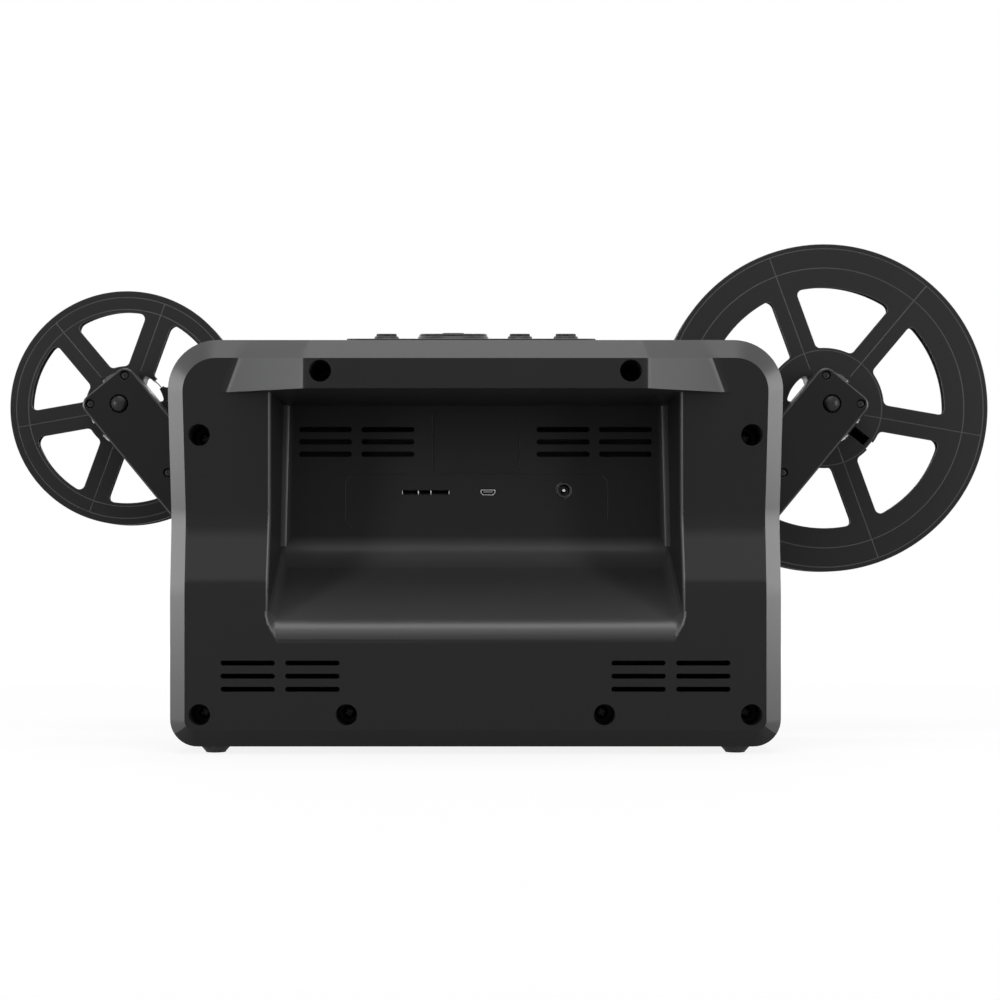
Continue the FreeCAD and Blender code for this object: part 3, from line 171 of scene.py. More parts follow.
def facetPaintedSheenShare(graph, where):  # 1 away from the facets, and on them 1 in the middle of their height; it scales the coat and the painted sheen there
    def within(value, start, end):
        return graph.fade(value, *facetPaintedSheenSettings[start]) * graph.fade(value, *facetPaintedSheenSettings[end])

    parts = graph.node("ShaderNodeSeparateXYZ", None, {0: where}, output=None)
    across, height = Wire(graph, parts.outputs["X"]).math("ABSOLUTE", 0.0), Wire(graph, parts.outputs["Z"])
    nearby = within(across, "inner", "outer") * within(height, "from", "to")
    return 1.0 + nearby * (within(height, "low", "high") - 1.0)


mouldedSettings = {
    "cloudScale": 18.0,
    "swell": 9,
    "relief": (0.7, 0.3),
    "roughnessSpread": 0.05,
    "coatRoughness": 0.25,
}


def mouldedPlastic(name, colour, roughness, grain=0.35, grainDepth=0.010, spread=0.12, coat=0.0, shine=0.08,
                   facets=False):
    graph = Graph(name)
    where = graph.place()
    cloud = graph.noise(where, mouldedSettings["cloudScale"], 3.0)
    fine = graph.noise(where, 1 / (grain * mm), 2.0, 0.6)
    swell = graph.noise(where, 1 / (mouldedSettings["swell"] * grain * mm), 2.0)
    fineShare, swellShare = mouldedSettings["relief"]
    polish = graph.node("ShaderNodeAttribute", {"attribute_name": "polish"}, output="Fac")
    if facets:
        polish = polish * facetPaintedSheenShare(graph, where)
    grainy = cloud * 0.6 + fine * 0.4
    # the second, paler colour is painted highlight and painted light, mixed in where the attribute is set
    dark, light = (graph.tint(grainy, scaled(shade, 1 - spread), scaled(shade, 1 + spread))
                   for shade in (colour, scaled(colour, polishAndPaintedLightSettings["pale"])))
    away = mouldedSettings["roughnessSpread"]
    return graph.surface({
        "Base Color": graph.mix(polish * polishAndPaintedLightSettings["share"], dark, light),
        "Roughness": graph.band(cloud * 0.5 + fine * 0.5, roughness - away, roughness + away),
        "Specular IOR Level": shine,
        "Normal": graph.bump(fine * fineShare + swell * swellShare, grainDepth * mm),
        "Coat Weight": coat if coat else polish * polishAndPaintedLightSettings["coat"],
        "Coat Roughness": mouldedSettings["coatRoughness"] if coat else polishAndPaintedLightSettings["roughness"],
    })


def turnedMetal(name, colour, roughness, scratch=0.004):
    graph = Graph(name)
    where = graph.place()
    stretched = graph.node("ShaderNodeMapping", None, {"Vector": where, "Scale": (1.0, 12.0, 1.0)})
    streak = graph.noise(stretched, 900.0, 3.0, 0.7)
    cloud = graph.noise(where, 60.0, 2.0)
    return graph.surface({
        "Base Color": graph.tint(cloud, scaled(colour, 0.88), scaled(colour, 1.08)),
        "Metallic": 1.0,
        "Roughness": graph.band(streak, roughness - 0.07, roughness + 0.09),
        "Normal": graph.bump(streak, scratch * mm),
    })


def socketParts(name, dark, metal):  # an attribute named bright marks the bare metal
    graph = Graph(name)
    where = graph.place()
    cloud = graph.noise(where, 300.0, 2.0)
    bright = graph.node("ShaderNodeAttribute", {"attribute_name": "bright"}, output="Fac")
    body = graph.tint(cloud, scaled(dark, 0.85), scaled(dark, 1.15))
    bare = graph.tint(cloud, scaled(metal, 0.9), scaled(metal, 1.05))
    return graph.surface({
        "Base Color": graph.mix(bright, body, bare),
        "Metallic": bright * 0.8,
        "Roughness": graph.band(cloud, 0.34, 0.44),
        "Normal": graph.bump(cloud, 0.003 * mm),
    })


def softRubber(name, colour):
    graph = Graph(name)
    where = graph.place()
    fine = graph.noise(where, 1400.0, 3.0, 0.7)
    cloud = graph.noise(where, 90.0, 2.0)
    return graph.surface({
        "Base Color": graph.tint(cloud, scaled(colour, 0.8), scaled(colour, 1.2)),
        "Roughness": graph.band(fine, 0.78, 0.92),
        "Normal": graph.bump(fine, 0.02 * mm),
    })


def darkGlass(name, colour):
    graph = Graph(name)
    where = graph.place()
    smear = graph.noise(where, 25.0, 4.0, 0.6)
    return graph.surface({
        "Base Color": graph.tint(smear, scaled(colour, 0.95), scaled(colour, 1.05)),
        "Roughness": graph.band(smear, 0.03, 0.09),
        "Coat Weight": 1.0,
        "Coat Roughness": 0.02,
    })


def circuitBoard(name, colour):
    graph = Graph(name)
    where = graph.place()
    tracks = graph.node("ShaderNodeTexBrick", None, {"Vector": where, "Scale": 220.0, "Mortar Size": 0.08},
                        output="Fac")
    return graph.surface({
        "Base Color": graph.tint(tracks, scaled(colour, 0.8), scaled(colour, 1.5)),
        "Roughness": graph.band(graph.noise(where, 300.0), 0.35, 0.5),
        "Normal": graph.bump(tracks, 0.03 * mm),
    })


def feltCloth(name, colour):
    graph = Graph(name)
    where = graph.place()
    fibre = graph.noise(where, 2500.0, 4.0, 0.8)
    return graph.surface({
        "Base Color": graph.tint(fibre, scaled(colour, 0.7), scaled(colour, 1.3)),
        "Roughness": 0.95,
        "Normal": graph.bump(fibre, 0.1 * mm),
    })


finishes = {
    "case_black": mouldedPlastic("caseBlack", (0.0325, 0.0325, 0.0330), 0.42, facets=True),
    "shell_black": mouldedPlastic("shellBlack", (0.0325, 0.0325, 0.0330), 0.42),
    "arm_black": mouldedPlastic("armBlack", (0.0280, 0.0280, 0.0285), 0.42, 0.30),
    "reel_black": mouldedPlastic("reelBlack", (0.0390, 0.0390, 0.0395), 0.40, 0.45, 0.006),
    "key_black": mouldedPlastic("keyBlack", (0.0300, 0.0300, 0.0310), 0.40, 0.25, shine=0.25),
    "panel_black": mouldedPlastic("panelBlack", (0.024, 0.024, 0.025), 0.30, 0.25, 0.004, coat=0.3,
                                  shine=0.3),
    "spindle_black": mouldedPlastic("spindleBlack", (0.022, 0.022, 0.023), 0.34, 0.30, 0.005, coat=0.35),
    "socket_black": socketParts("socketBlack", (0.009, 0.009, 0.009), (0.70, 0.70, 0.70)),
    "display": mouldedPlastic("displayFrame", (0.020, 0.020, 0.024), 0.25, 0.25, 0.002),
    "light_white": mouldedPlastic("lightWhite", (0.70, 0.72, 0.73), 0.35, 0.30, 0.004, 0.04),
    "roller_white": mouldedPlastic("rollerWhite", (0.50, 0.50, 0.48), 0.40, 0.30, 0.005, 0.05),
    "screw_steel": turnedMetal("screwSteel", (0.03, 0.03, 0.032), 0.45),
    "shaft_steel": turnedMetal("shaftSteel", (0.52, 0.52, 0.53), 0.24),
    "socket_metal": socketParts("socketMetal", (0.009, 0.009, 0.009), (0.60, 0.60, 0.60)),
    "motor_metal": turnedMetal("motorMetal", (0.48, 0.48, 0.49), 0.32),
    "gate_metal": turnedMetal("gateMetal", (0.26, 0.26, 0.27), 0.35),
    "lens": turnedMetal("lensBlack", (0.05, 0.05, 0.055), 0.30),
    "foot_rubber": softRubber("footRubber", (0.022, 0.022, 0.022)),
    "belt_rubber": softRubber("beltRubber", (0.018, 0.018, 0.018)),
    "screen_glass": darkGlass("screenGlass", (0.006, 0.006, 0.007)),
    "board_green": circuitBoard("boardGreen", (0.02, 0.09, 0.04)),
    "felt": feltCloth("greyFelt", (0.20, 0.20, 0.19)),
}
print("materials made:", len(finishes))


# pieces

edgeSettings = {"segments": 2, "angle": math.radians(34), "weight": 80}
mergeSettings = {"distance": 0.004, "angle": math.radians(0.4)}


def dress(obj, name):
    obj.data.materials.clear()
    obj.data.materials.append(finishes[name])


def asPiece(name, mesh, node):
    obj = bpy.data.objects.new(name, mesh)
    bpy.context.scene.collection.objects.link(obj)
    dress(obj, slotOf[node])
    return obj


def settle(obj):
    depsgraph = bpy.context.evaluated_depsgraph_get()
    mesh = bpy.data.meshes.new_from_object(obj.evaluated_get(depsgraph), depsgraph=depsgraph)
    obj.modifiers.clear()
    obj.data = mesh
    return obj


def shadeByAngle(mesh, angle=edgeSettings["angle"]):
    mesh.shade_smooth()
    mesh.set_sharp_from_angle(angle=angle)


def soften(obj, width):
    if width:
        bevel = obj.modifiers.new("edge", "BEVEL")
        bevel.width = width * mm
        bevel.segments = edgeSettings["segments"]
        bevel.limit_method = "ANGLE"
        bevel.angle_limit = edgeSettings["angle"]
        bevel.use_clamp_overlap = True
        bevel.harden_normals = False
    even = obj.modifiers.new("shading", "WEIGHTED_NORMAL")
    even.mode = "FACE_AREA"
    even.weight = edgeSettings["weight"]
    even.keep_sharp = True
    return settle(obj)


def mergedCopy(node):
    mesh = frame["nodes"][node].data.copy()
    work = bmesh.new()
    work.from_mesh(mesh)
    bmesh.ops.remove_doubles(work, verts=work.verts, dist=mergeSettings["distance"] * mm)
    bmesh.ops.dissolve_limit(work, angle_limit=mergeSettings["angle"], verts=work.verts, edges=work.edges)
    work.to_mesh(mesh)
    work.free()
    shadeByAngle(mesh)
    return mesh


# the test gets the face's normal, its middle in millimetres and the corner's own normal
def markCorners(obj, label, test):
    mesh = obj.data
    values = [float(test(face.normal, face.center / mm, mesh.corner_normals[corner].vector))
              for face in mesh.polygons for corner in face.loop_indices]
    mesh.attributes.new(label, "FLOAT", "CORNER").data.foreach_set("value", values)


edgeTilt = (0.25, 0.97)
caseMarks = {  # how polished and how much painted paler (painted highlight at the mouth, painted light on the ledge, side walls and facets), and the span outwards from the middle, towards the rear and up from the table
    "mouth": (2.0, (94, 114), (34, 54), (50, 177)),
    "ledge": (1.6, (-1, 101), (-200, 46.8), (40, 108)),
    "facet": (0.45, (99, 138), (-200, 200), (88, 124)),
    "side": (1.8, (88, 112), (-200, 45), (50, 177)),
}
# the rim bevel and the bar's slanted ends get a coat and a painted highlight at this level
rimMarks = {"level": 1.15, "x": 140, "z": 189, "from": (125, 174), "middle": (125.5, 175.2), "radius": 15.5,
            "rimTilt": (0.62, 0.86), "slantTilt": (0.86, 0.96), "slantFrom": 176}
ledgePaintedLightFade = 0.5
portMarks = {"shell": (0.9, -8.6), "tongue": (0.35, -9.6)}
pinMark = {"middle": (-46.0, 132.4), "radius": 1.1, "depth": (-12.5, -9)}


# marks bevels for the coat and a painted highlight (paler base colour)
def edgeBevel(normal, middle, corner):
    low, high = edgeTilt
    return low < normal.y < high


def inZone(name, *place):
    return all(low < value < high for value, (low, high) in zip(place, caseMarks[name][1:]))


def onRim(normal, x, z):  # the bevel round the rear edge, and the slanted ends of the bar
    (left, low), (middleX, middleZ) = rimMarks["from"], rimMarks["middle"]
    rounded = x > left and z > low and math.hypot(x - middleX, z - middleZ) > rimMarks["radius"]
    outline = x > rimMarks["x"] or z > rimMarks["z"] or rounded
    least, most = rimMarks["rimTilt"]
    slantLeast, slantMost = rimMarks["slantTilt"]
    slant = slantLeast < normal.y < slantMost and abs(normal.x) > 0.3 and z > rimMarks["slantFrom"]
    return slant or (outline and least < normal.y < most and normal.z > -0.4)


def caseBevelAndPaintedLight(normal, middle, corner):
    place = x, y, z = abs(middle.x), middle.y, middle.z
    # painted highlight along the mouth of the recess
    if normal.y > 0.2 and abs(normal.x) > 0.25 and inZone("mouth", *place):
        return caseMarks["mouth"][0]
    # painted light from above on the ledge: paler as the corner's normal turns up
    if inZone("ledge", *place):
        return caseMarks["ledge"][0] * min(1.0, max(0.0, corner.z) / ledgePaintedLightFade)
    # painted sheen on the facets
    if normal.y > 0.95 and 0.08 < normal.z < 0.2 and inZone("facet", *place):
        return caseMarks["facet"][0]
    if onRim(normal, x, z):
        return rimMarks["level"]
    # painted light on the inner side walls of the recess
    inwards = abs(normal.x) > 0.5 and middle.x * normal.x < 0
    return caseMarks["side"][0] * (inwards and inZone("side", *place))


def portRim(normal, middle, corner):  # the mouth of the shell and the tongue's end
    return next((level for level, depth in portMarks.values() if normal.y > 0.9 and middle.y > depth), 0)


def plugPin(normal, middle, corner):
    (x, z), (back, mouth) = pinMark["middle"], pinMark["depth"]
    return math.hypot(middle.x - x, middle.z - z) < pinMark["radius"] and back < middle.y < mouth


def camelName(node):
    return "".join(word.capitalize() if k else word for k, word in enumerate(node.split("_")))


marks = {
    "rear_cover": ("polish", caseBevelAndPaintedLight),
    "supply_arm_cover": ("polish", edgeBevel),
    "take_up_arm_cover": ("polish", edgeBevel),
    "usb_socket": ("bright", portRim),
    "dc_jack": ("bright", plugPin),
}


def refined(node, width):
    obj = asPiece(camelName(node), mergedCopy(node), node)
    soften(obj, width)
    if node in marks:
        markCorners(obj, *marks[node])
    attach(obj, bodyOf[node])
    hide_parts(node)


# geometry trees: what repeats is placed by them

class Steps(Graph):  # a geometry tree made with the same node method, its sizes as named inputs
    def __init__(self, name, inputs):
        self.tree = bpy.data.node_groups.new(name, "GeometryNodeTree")
        sockets = self.tree.interface
        sockets.new_socket("Geometry", in_out="INPUT", socket_type="NodeSocketGeometry")
        for label, kind in inputs.items():
            sockets.new_socket(label, in_out="INPUT", socket_type="NodeSocket" + kind)
        sockets.new_socket("Geometry", in_out="OUTPUT", socket_type="NodeSocketGeometry")
        self.entry = self.node("NodeGroupInput", output=None)

    def given(self, label):
        return Wire(self, self.entry.outputs[label])

    def result(self, geometry):
        real = self.node("GeometryNodeRealizeInstances", None, {"Geometry": geometry})
        dressed = self.node("GeometryNodeSetMaterial", None,
                            {"Geometry": real, "Material": self.given("Finish")})
        self.node("NodeGroupOutput", None, {"Geometry": dressed}, output=None)
        return self.tree


def cutsRoundTree():  # one cutter, repeated round the axis and taken out of the piece
    steps = Steps("cutsRoundTheAxis",
                  {"Cutter": "Object", "Count": "Int", "Turn": "Float", "Finish": "Material"})
    count = steps.given("Count")
    points = steps.node("GeometryNodePoints", None, {"Count": count})
    share = steps.node("ShaderNodeMath", {"operation": "DIVIDE"}, {0: 2 * math.pi, 1: count})
    angle = steps.node("GeometryNodeInputIndex") * share + steps.given("Turn")
    euler = steps.node("ShaderNodeCombineXYZ", None, {"Z": angle})
    turn = steps.node("FunctionNodeEulerToRotation", None, {"Euler": euler})
    shape = steps.node("GeometryNodeObjectInfo", None, {"Object": steps.given("Cutter")}, output="Geometry")
    copies = steps.node("GeometryNodeInstanceOnPoints", None,
                        {"Points": points, "Instance": shape, "Rotation": turn})
    solid = steps.node("GeometryNodeRealizeInstances", None, {"Geometry": copies})
    cut = steps.node("GeometryNodeMeshBoolean", {"operation": "DIFFERENCE", "solver": "EXACT"},
                     {"Mesh 1": steps.given("Geometry"), "Mesh 2": solid})
    return steps.result(cut)


def copiesTree():  # one shape at every point of a mesh
    steps = Steps("copiesAtPoints", {"Shape": "Object", "Finish": "Material"})
    shape = steps.node("GeometryNodeObjectInfo", None, {"Object": steps.given("Shape")}, output="Geometry")
    copies = steps.node("GeometryNodeInstanceOnPoints", None,
                        {"Points": steps.given("Geometry"), "Instance": shape})
    return steps.result(copies)


trees = {"cutsRound": cutsRoundTree(), "copies": copiesTree()}


def runTree(obj, tree, values):
    modifier = obj.modifiers.new(tree.name, "NODES")
    modifier.node_group = tree
    for item in tree.interface.items_tree:
        if item.in_out == "INPUT" and item.name in values:
            modifier[item.identifier] = values[item.name]
    return settle(obj)


# mesh makers, in millimetres, about the local Z axis

def finishedMesh(name, work):
    bmesh.ops.recalc_face_normals(work, faces=work.faces)
    mesh = bpy.data.meshes.new(name)
    work.to_mesh(mesh)
    work.free()
    return mesh


def turnedMesh(name, profile, steps):  # (radius, height) pairs from the axis back to the axis
    work = bmesh.new()
    rings = []
    for radius, height in profile:
        angles = [2 * math.pi * k / steps for k in range(steps if radius else 1)]
        rings.append([work.verts.new((radius * mm * math.cos(a), radius * mm * math.sin(a), height * mm))
                      for a in angles])
    for low, high in zip(rings, rings[1:]):
        for k in range(steps):
            after = (k + 1) % steps
            corners = [low[k % len(low)], low[after % len(low)], high[after % len(high)], high[k % len(high)]]
            corners = list(dict.fromkeys(corners))
            if len(corners) > 2:
                work.faces.new(corners)
    return finishedMesh(name, work)


def loftedMesh(name, lofts):  # each loft is a list of (outline, height), closed at both ends
    work = bmesh.new()
    for levels in lofts:
        rings = [[work.verts.new((x * mm, y * mm, height * mm)) for x, y in outline]
                 for outline, height in levels]
        for low, high in zip(rings, rings[1:]):
            for k in range(len(low)):
                after = (k + 1) % len(low)
                work.faces.new([low[k], low[after], high[after], high[k]])
        work.faces.new(rings[0])
        work.faces.new(rings[-1])
    return finishedMesh(name, work)


def arcPoints(middle, radius, start, end, steps):
    angles = [start + (end - start) * k / steps for k in range(steps + 1)]
    return [(middle[0] + radius * math.cos(a), middle[1] + radius * math.sin(a)) for a in angles]


def roundedLevels(outlineAt, low, high, edge):  # a cutter whose mouths leave rounded edges behind
    quarter = [math.pi / 2 * k / 3 for k in range(4)]
    top = [(edge - edge * math.sin(a), high - edge + edge * math.cos(a)) for a in quarter]
    bottom = [(grow, low + high - height) for grow, height in reversed(top)]
    levels = [(edge, low - 1)] + bottom + top[::-1] + [(edge, high + 1)]
    return [(outlineAt(grow), height) for grow, height in levels]


def bayOutline(inner, outer, spoke, fillet, count, grow):  # the opening between two spokes, about the X axis
    half = math.pi / count
    across = spoke / 2 + fillet
    near, far = inner + fillet, outer - fillet
    side = []
    for reach, start, end in ((near, math.pi, 1.5 * math.pi), (far, 1.5 * math.pi, 2 * math.pi)):
        along = math.sqrt(reach ** 2 - across ** 2)
        lean = math.atan2(across, along)
        start += lean if reach == near else 0
        end += lean if reach == far else 0
        for u, v in arcPoints((along, across), fillet + grow, start, end, 7):
            side.append((math.hypot(u, v), half - math.atan2(v, u)))
    first = [(inner - grow, side[0][1] * k / 6) for k in range(6)]
    last = [(outer + grow, side[-1][1] * (1 - k / 12)) for k in range(1, 13)]
    upper = first + side + last
    whole = upper + [(radius, -angle) for radius, angle in upper[-2:0:-1]]
    return [(radius * math.cos(angle), radius * math.sin(angle)) for radius, angle in whole]


def barOutline(start, end, width):
    return [(start, -width / 2), (end, -width / 2), (end, width / 2), (start, width / 2)]


def turnedBy(outline, degrees):
    c, s = math.cos(math.radians(degrees)), math.sin(math.radians(degrees))
    return [(x * c - y * s, x * s + y * c) for x, y in outline]


# reels: angles run from the right of the rear view towards the top

reelShape = {
    "plate": 1.4, "faces": (-50.9, -61.1), "setBack": 1.9, "steps": 240,
    "rim": 0.5, "bead": (2.2, 0.8), "beadEdge": 0.25, "edge": 0.32, "hubEdge": 0.3,
    "windows": 6, "windowFillet": 3.0, "windowSpoke": 14.6,
    "lands": 5, "landWidth": 7.2, "landFillet": 1.2, "landRing": (8.0, 20.4),
    "line": (0.28, 0.16), "lineRoot": 0.02, "bore": 4.0, "boreEdge": 0.2, "key": (1.7, 5.9),
}
reels = {
    "supply": {"middle": (-189.3, 179.5), "radius": 89.0, "hub": 32.7, "window": 65.3, "turn": -10.0,
               "circles": (31.4, 76.0, 86.5), "spokeLine": (22.0, 86.5), "landTurn": 180.0, "keyTurn": 50.5,
               "slot": (19.4, 29.6, 5.2, -38.5), "notch": (31.7, 34.0, 5.2, -39.7)},
    "take_up": {"middle": (189.3, 179.5), "radius": 63.5, "hub": 22.8, "window": 51.7, "turn": 10.0,
                "circles": (53.5, 60.0), "spokeLine": (21.5, 60.0), "landTurn": 0.0, "keyTurn": 129.5,
                "slot": (19.4, 24.0, 5.2, 37.5), "notch": None},
}


def plateProfile(size):
    plate, rim = reelShape["plate"], reelShape["rim"]
    wide, deep = reelShape["line"]
    beadWide, beadDeep = reelShape["bead"]
    beadEdge, radius = reelShape["beadEdge"], size["radius"]
    points = [(0, plate)]
    for circle in size["circles"]:
        points += [(circle - wide, plate), (circle, plate - deep), (circle + wide, plate)]
    points += arcPoints((radius - rim, plate - rim), rim, math.pi / 2, 0, 4)
    points += arcPoints((radius - rim, rim - beadDeep), rim, 0, -math.pi / 2, 4)
    points += [(radius - beadWide + beadEdge, -beadDeep), (radius - beadWide, beadEdge - beadDeep)]
    return points + [(radius - beadWide, 0), (0, 0)]


def boreOutline(grow):
    radius, half, tip = reelShape["bore"] + grow, reelShape["key"][0] / 2 + grow, reelShape["key"][1] + grow
    wide = math.asin(half / radius)
    outline = []
    for k in range(3):
        turn = 2 * math.pi / 3 * k
        outline += turnedBy([(tip, -half), (tip, half)], 120 * k)
        outline += arcPoints((0, 0), radius, turn + wide, turn + 2 * math.pi / 3 - wide, 12)
    return outline


def cutRound(obj, lofts, count, degrees):
    cutter = bpy.data.objects.new("cutter", loftedMesh("cutter", lofts))
    bpy.context.scene.collection.objects.link(cutter)
    runTree(obj, trees["cutsRound"], {"Cutter": cutter, "Count": count, "Turn": math.radians(degrees),
                                      "Finish": finishes["reel_black"]})
    bpy.data.objects.remove(cutter)


def reelPiece(side, part, mesh, cuts, place):
    node = side + "_reel_" + part
    obj = asPiece(camelName(node), mesh, node)
    for lofts, count, degrees in cuts:
        cutRound(obj, lofts, count, degrees)
    x, z = reels[side]["middle"]
    height, outward = place
    axes = Matrix(((-1, 0, 0, x * mm), (0, 0, outward, height * mm), (0, 1, 0, z * mm), (0, 0, 0, 1)))
    obj.data.transform(axes)
    if outward < 0:
        obj.data.flip_normals()
    shadeByAngle(obj.data)
    soften(obj, 0)
    markCorners(obj, "polish", edgeBevel)
    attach(obj, bodyOf[node])
    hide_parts(node)


def makeReel(side):
    size = reels[side]
    plate, edge, count = reelShape["plate"], reelShape["edge"], reelShape["windows"]
    rear, front = reelShape["faces"]
    ringIn, ringOut = reelShape["landRing"]
    wide, deep = reelShape["line"]
    half = 180 / count

    def window(grow):
        return bayOutline(size["hub"], size["window"], reelShape["windowSpoke"], reelShape["windowFillet"],
                          count, grow)

    def frontWindow(grow):
        return window(grow + reelShape["setBack"])

    def land(grow):
        return bayOutline(ringIn, ringOut, reelShape["landWidth"], reelShape["landFillet"],
                          reelShape["lands"], grow)

    start, end = size["spokeLine"]
    line = [(turnedBy(barOutline(start, end, reelShape["lineRoot"]), half), plate - deep),
            (turnedBy(barOutline(start, end, 4 * wide), half), plate + deep)]
    bays, frontBays = [([roundedLevels(outline, 0, plate, edge), line], count, size["turn"] + half)
                       for outline in (window, frontWindow)]
    lands = reelShape["lands"]
    landTurn = size["landTurn"] + 180 / lands
    face = [
        ([roundedLevels(land, 0, plate, edge)], lands, landTurn),
        ([roundedLevels(boreOutline, 0, plate, reelShape["boreEdge"])], 1, size["keyTurn"]),
    ]
    slots = [size["slot"]] + ([size["notch"]] if size["notch"] else [])
    slotCuts = [([[(barOutline(a, b, across), -1), (barOutline(a, b, across), plate + 1)]], 1, turn)
                for a, b, across, turn in slots]
    wall, ease = size["hub"] - reelShape["setBack"], reelShape["hubEdge"]
    drum = [(0, rear), (wall - ease, rear), (wall, rear - ease),
            (wall, front + ease), (wall - ease, front), (0, front)]
    through = (front - 1, rear + 1)
    a, b, across, turn = size["slot"]
    drumCuts = [
        ([[(land(0), height) for height in through]], lands, landTurn),
        ([[(boreOutline(0), height) for height in through]], 1, size["keyTurn"]),
        ([[(barOutline(a, b, across), height) for height in through]], 1, turn),
    ]
    reelPiece(side, "rear_flange", turnedMesh("plate", plateProfile(size), reelShape["steps"]),
              [bays] + face + slotCuts, (rear, 1))
    reelPiece(side, "front_flange", turnedMesh("plate", plateProfile(size), reelShape["steps"]),
              [frontBays] + face, (front, -1))
    reelPiece(side, "hub", turnedMesh("drum", drum, reelShape["steps"]), drumCuts, (0, 1))


for side in reels:
    makeReel(side)
print("reels made:", len(reels))


# screws and feet: one shape each, placed at its points

screwShape = {"brim": 0.35, "edge": 0.1, "domeSteps": 8, "steps": 40, "tip": (0.35, 1.6), "slotFlare": 1.3,
              "slotOver": 0.5, "slotTurn": 20}
armScrew = {"head": 2.2, "rise": 1.2, "shank": 0.9, "length": 9.0, "seat": -29.8, "cross": (0.55, 1.1, 0.5)}
screwKinds = {
    "case_screws": {
        "head": 3.2, "rise": 2.4, "shank": 1.5, "length": 18.0, "seat": 26.0, "cross": (0.9, 1.9, 1.1),
        "places": [(side * x, z) for side in (1, -1) for x, z in
                   ((73.8, 184.5), (134.5, 155.9), (134.8, 19.5), (63.0, 19.5))],
    },
    "supply_arm_screws": {**armScrew, "places": [(-163.35, 142.83), (-204.65, 179.42), (-186.29, 194.55)]},
    "take_up_arm_screws": {**armScrew, "places": [(163.35, 142.83), (204.65, 179.42), (186.29, 194.55)]},
}
footShape = {"mouth": 5.0, "root": 7.5, "height": 3.3, "edge": 0.5, "steps": 48,
             "places": [(129.0, 30.5), (-129.0, 30.5), (98.0, -36.0), (-98.0, -36.0)]}


def pointMesh(name, points):
    mesh = bpy.data.meshes.new(name)
    mesh.from_pydata([tuple(value * mm for value in point) for point in points], [], [])
    return mesh


def shapeFrom(mesh):
    shape = bpy.data.objects.new(mesh.name, mesh)
    bpy.context.scene.collection.objects.link(shape)
    return shape


def crossOutline(reach, width):
    arm = [(reach, -width / 2), (reach, width / 2), (width / 2, width / 2)]
    return [point for k in range(4) for point in turnedBy(arm, 90 * k)]


def makeScrew(values):
    head, rise, shank, length = (values[key] for key in ("head", "rise", "shank", "length"))
    low, edge, (blunt, taper) = rise * screwShape["brim"], screwShape["edge"], screwShape["tip"]
    angles = [math.pi / 2 * k / screwShape["domeSteps"] for k in range(screwShape["domeSteps"])]
    dome = [(head * math.cos(angle), low + (rise - low) * math.sin(angle)) for angle in angles]
    tip = [(0, -length), (shank * blunt, -length), (shank, taper * shank - length), (shank, 0)]
    profile = tip + [(head - edge, 0), (head, edge)] + dome + [(0, rise)]
    shape = shapeFrom(turnedMesh("screw", profile, screwShape["steps"]))
    width, reach, depth = values["cross"]
    slot = [(crossOutline(reach, width * 0.5), rise - depth),
            (crossOutline(reach * screwShape["slotFlare"], width), rise + screwShape["slotOver"])]
    cutRound(shape, [slot], 1, screwShape["slotTurn"])
    shape.data.transform(Matrix.Rotation(-math.pi / 2, 4, "X"))
    return shape


def makeFoot():
    mouth, root, height, edge = (footShape[key] for key in ("mouth", "root", "height", "edge"))
    rounded = arcPoints((mouth - edge, edge), edge, -math.pi / 2, 0, 4)
    profile = [(0, 0)] + rounded + [(root, height), (0, height)]
    return shapeFrom(turnedMesh("foot", profile, footShape["steps"]))


def placeCopies(name, node, shape, points):
    obj = asPiece(name, pointMesh(node, points), node)
    runTree(obj, trees["copies"], {"Shape": shape, "Finish": finishes[slotOf[node]]})
    bpy.data.objects.remove(shape)
    shadeByAngle(obj.data)
    soften(obj, 0)
    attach(obj, bodyOf[node])
    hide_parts(node)


for node, values in screwKinds.items():
    points = [(x, values["seat"], z) for x, z in values["places"]]
    placeCopies(camelName(node), node, makeScrew(values), points)
placeCopies("rubberFeet", "feet", makeFoot(), [(x, y, 0) for x, y in footShape["places"]])
print("screws and feet made:", len(screwKinds) + 1)


edgeWidths = {
    "rear_cover": 0.45, "front_shell": 0.6, "keypad_panel": 0.2, "power_key": 0.15, "back_key": 0.15,
    "menu_key": 0.15, "ok_key": 0.15, "up_key": 0.15, "down_key": 0.15, "left_key": 0.15, "right_key": 0.15,
    "screen_glass": 0.3, "sd_socket": 0.1, "usb_socket": 0.06,
    "dc_jack": 0.15, "film_deck": 0.4, "light_panel": 0.2, "gate_door": 0.25, "pressure_plate": 0.06,
    "gate_hinge_pin": 0.1, "roller_pins": 0.15, "camera_head": 0.4, "lens_barrel": 0.2,
    "film_claw": 0.06, "claw_crank": 0.15, "claw_motor": 0.2, "take_up_motor": 0.2,
    "take_up_spindle_pulley": 0.15, "take_up_motor_pulley": 0.15, "take_up_belt": 0.2,
    "supply_brake_disc": 0.15, "supply_felt_washer": 0.1, "lcd_module": 0.2, "main_board": 0.1,
    "key_board": 0.1, "sensor_board": 0.1,
}
for side in ("supply", "take_up"):
    edgeWidths[side + "_arm"] = 0.3
    edgeWidths[side + "_arm_cover"] = 0.12
    edgeWidths[side + "_arm_pivot"] = 0.2
    edgeWidths[side + "_spindle"] = 0.15
    edgeWidths[side + "_inner_roller"] = 0.12
    edgeWidths[side + "_outer_roller"] = 0.12
for node, width in edgeWidths.items():
    refined(node, width)
print("pieces refined:", len(edgeWidths))


# additions to the rear: the broad hollow at the back of the ledge, the lips of the two plain panels and
# the contacts in the card slot

hollow = {"corner": (-8.0, 97.7), "slope": (0.842, -0.540), "reach": 10.5, "half": 98.6, "sunk": 0.5,
          "steps": 16, "sharp": math.radians(20), "polish": 2.0, "fade": 0.6}


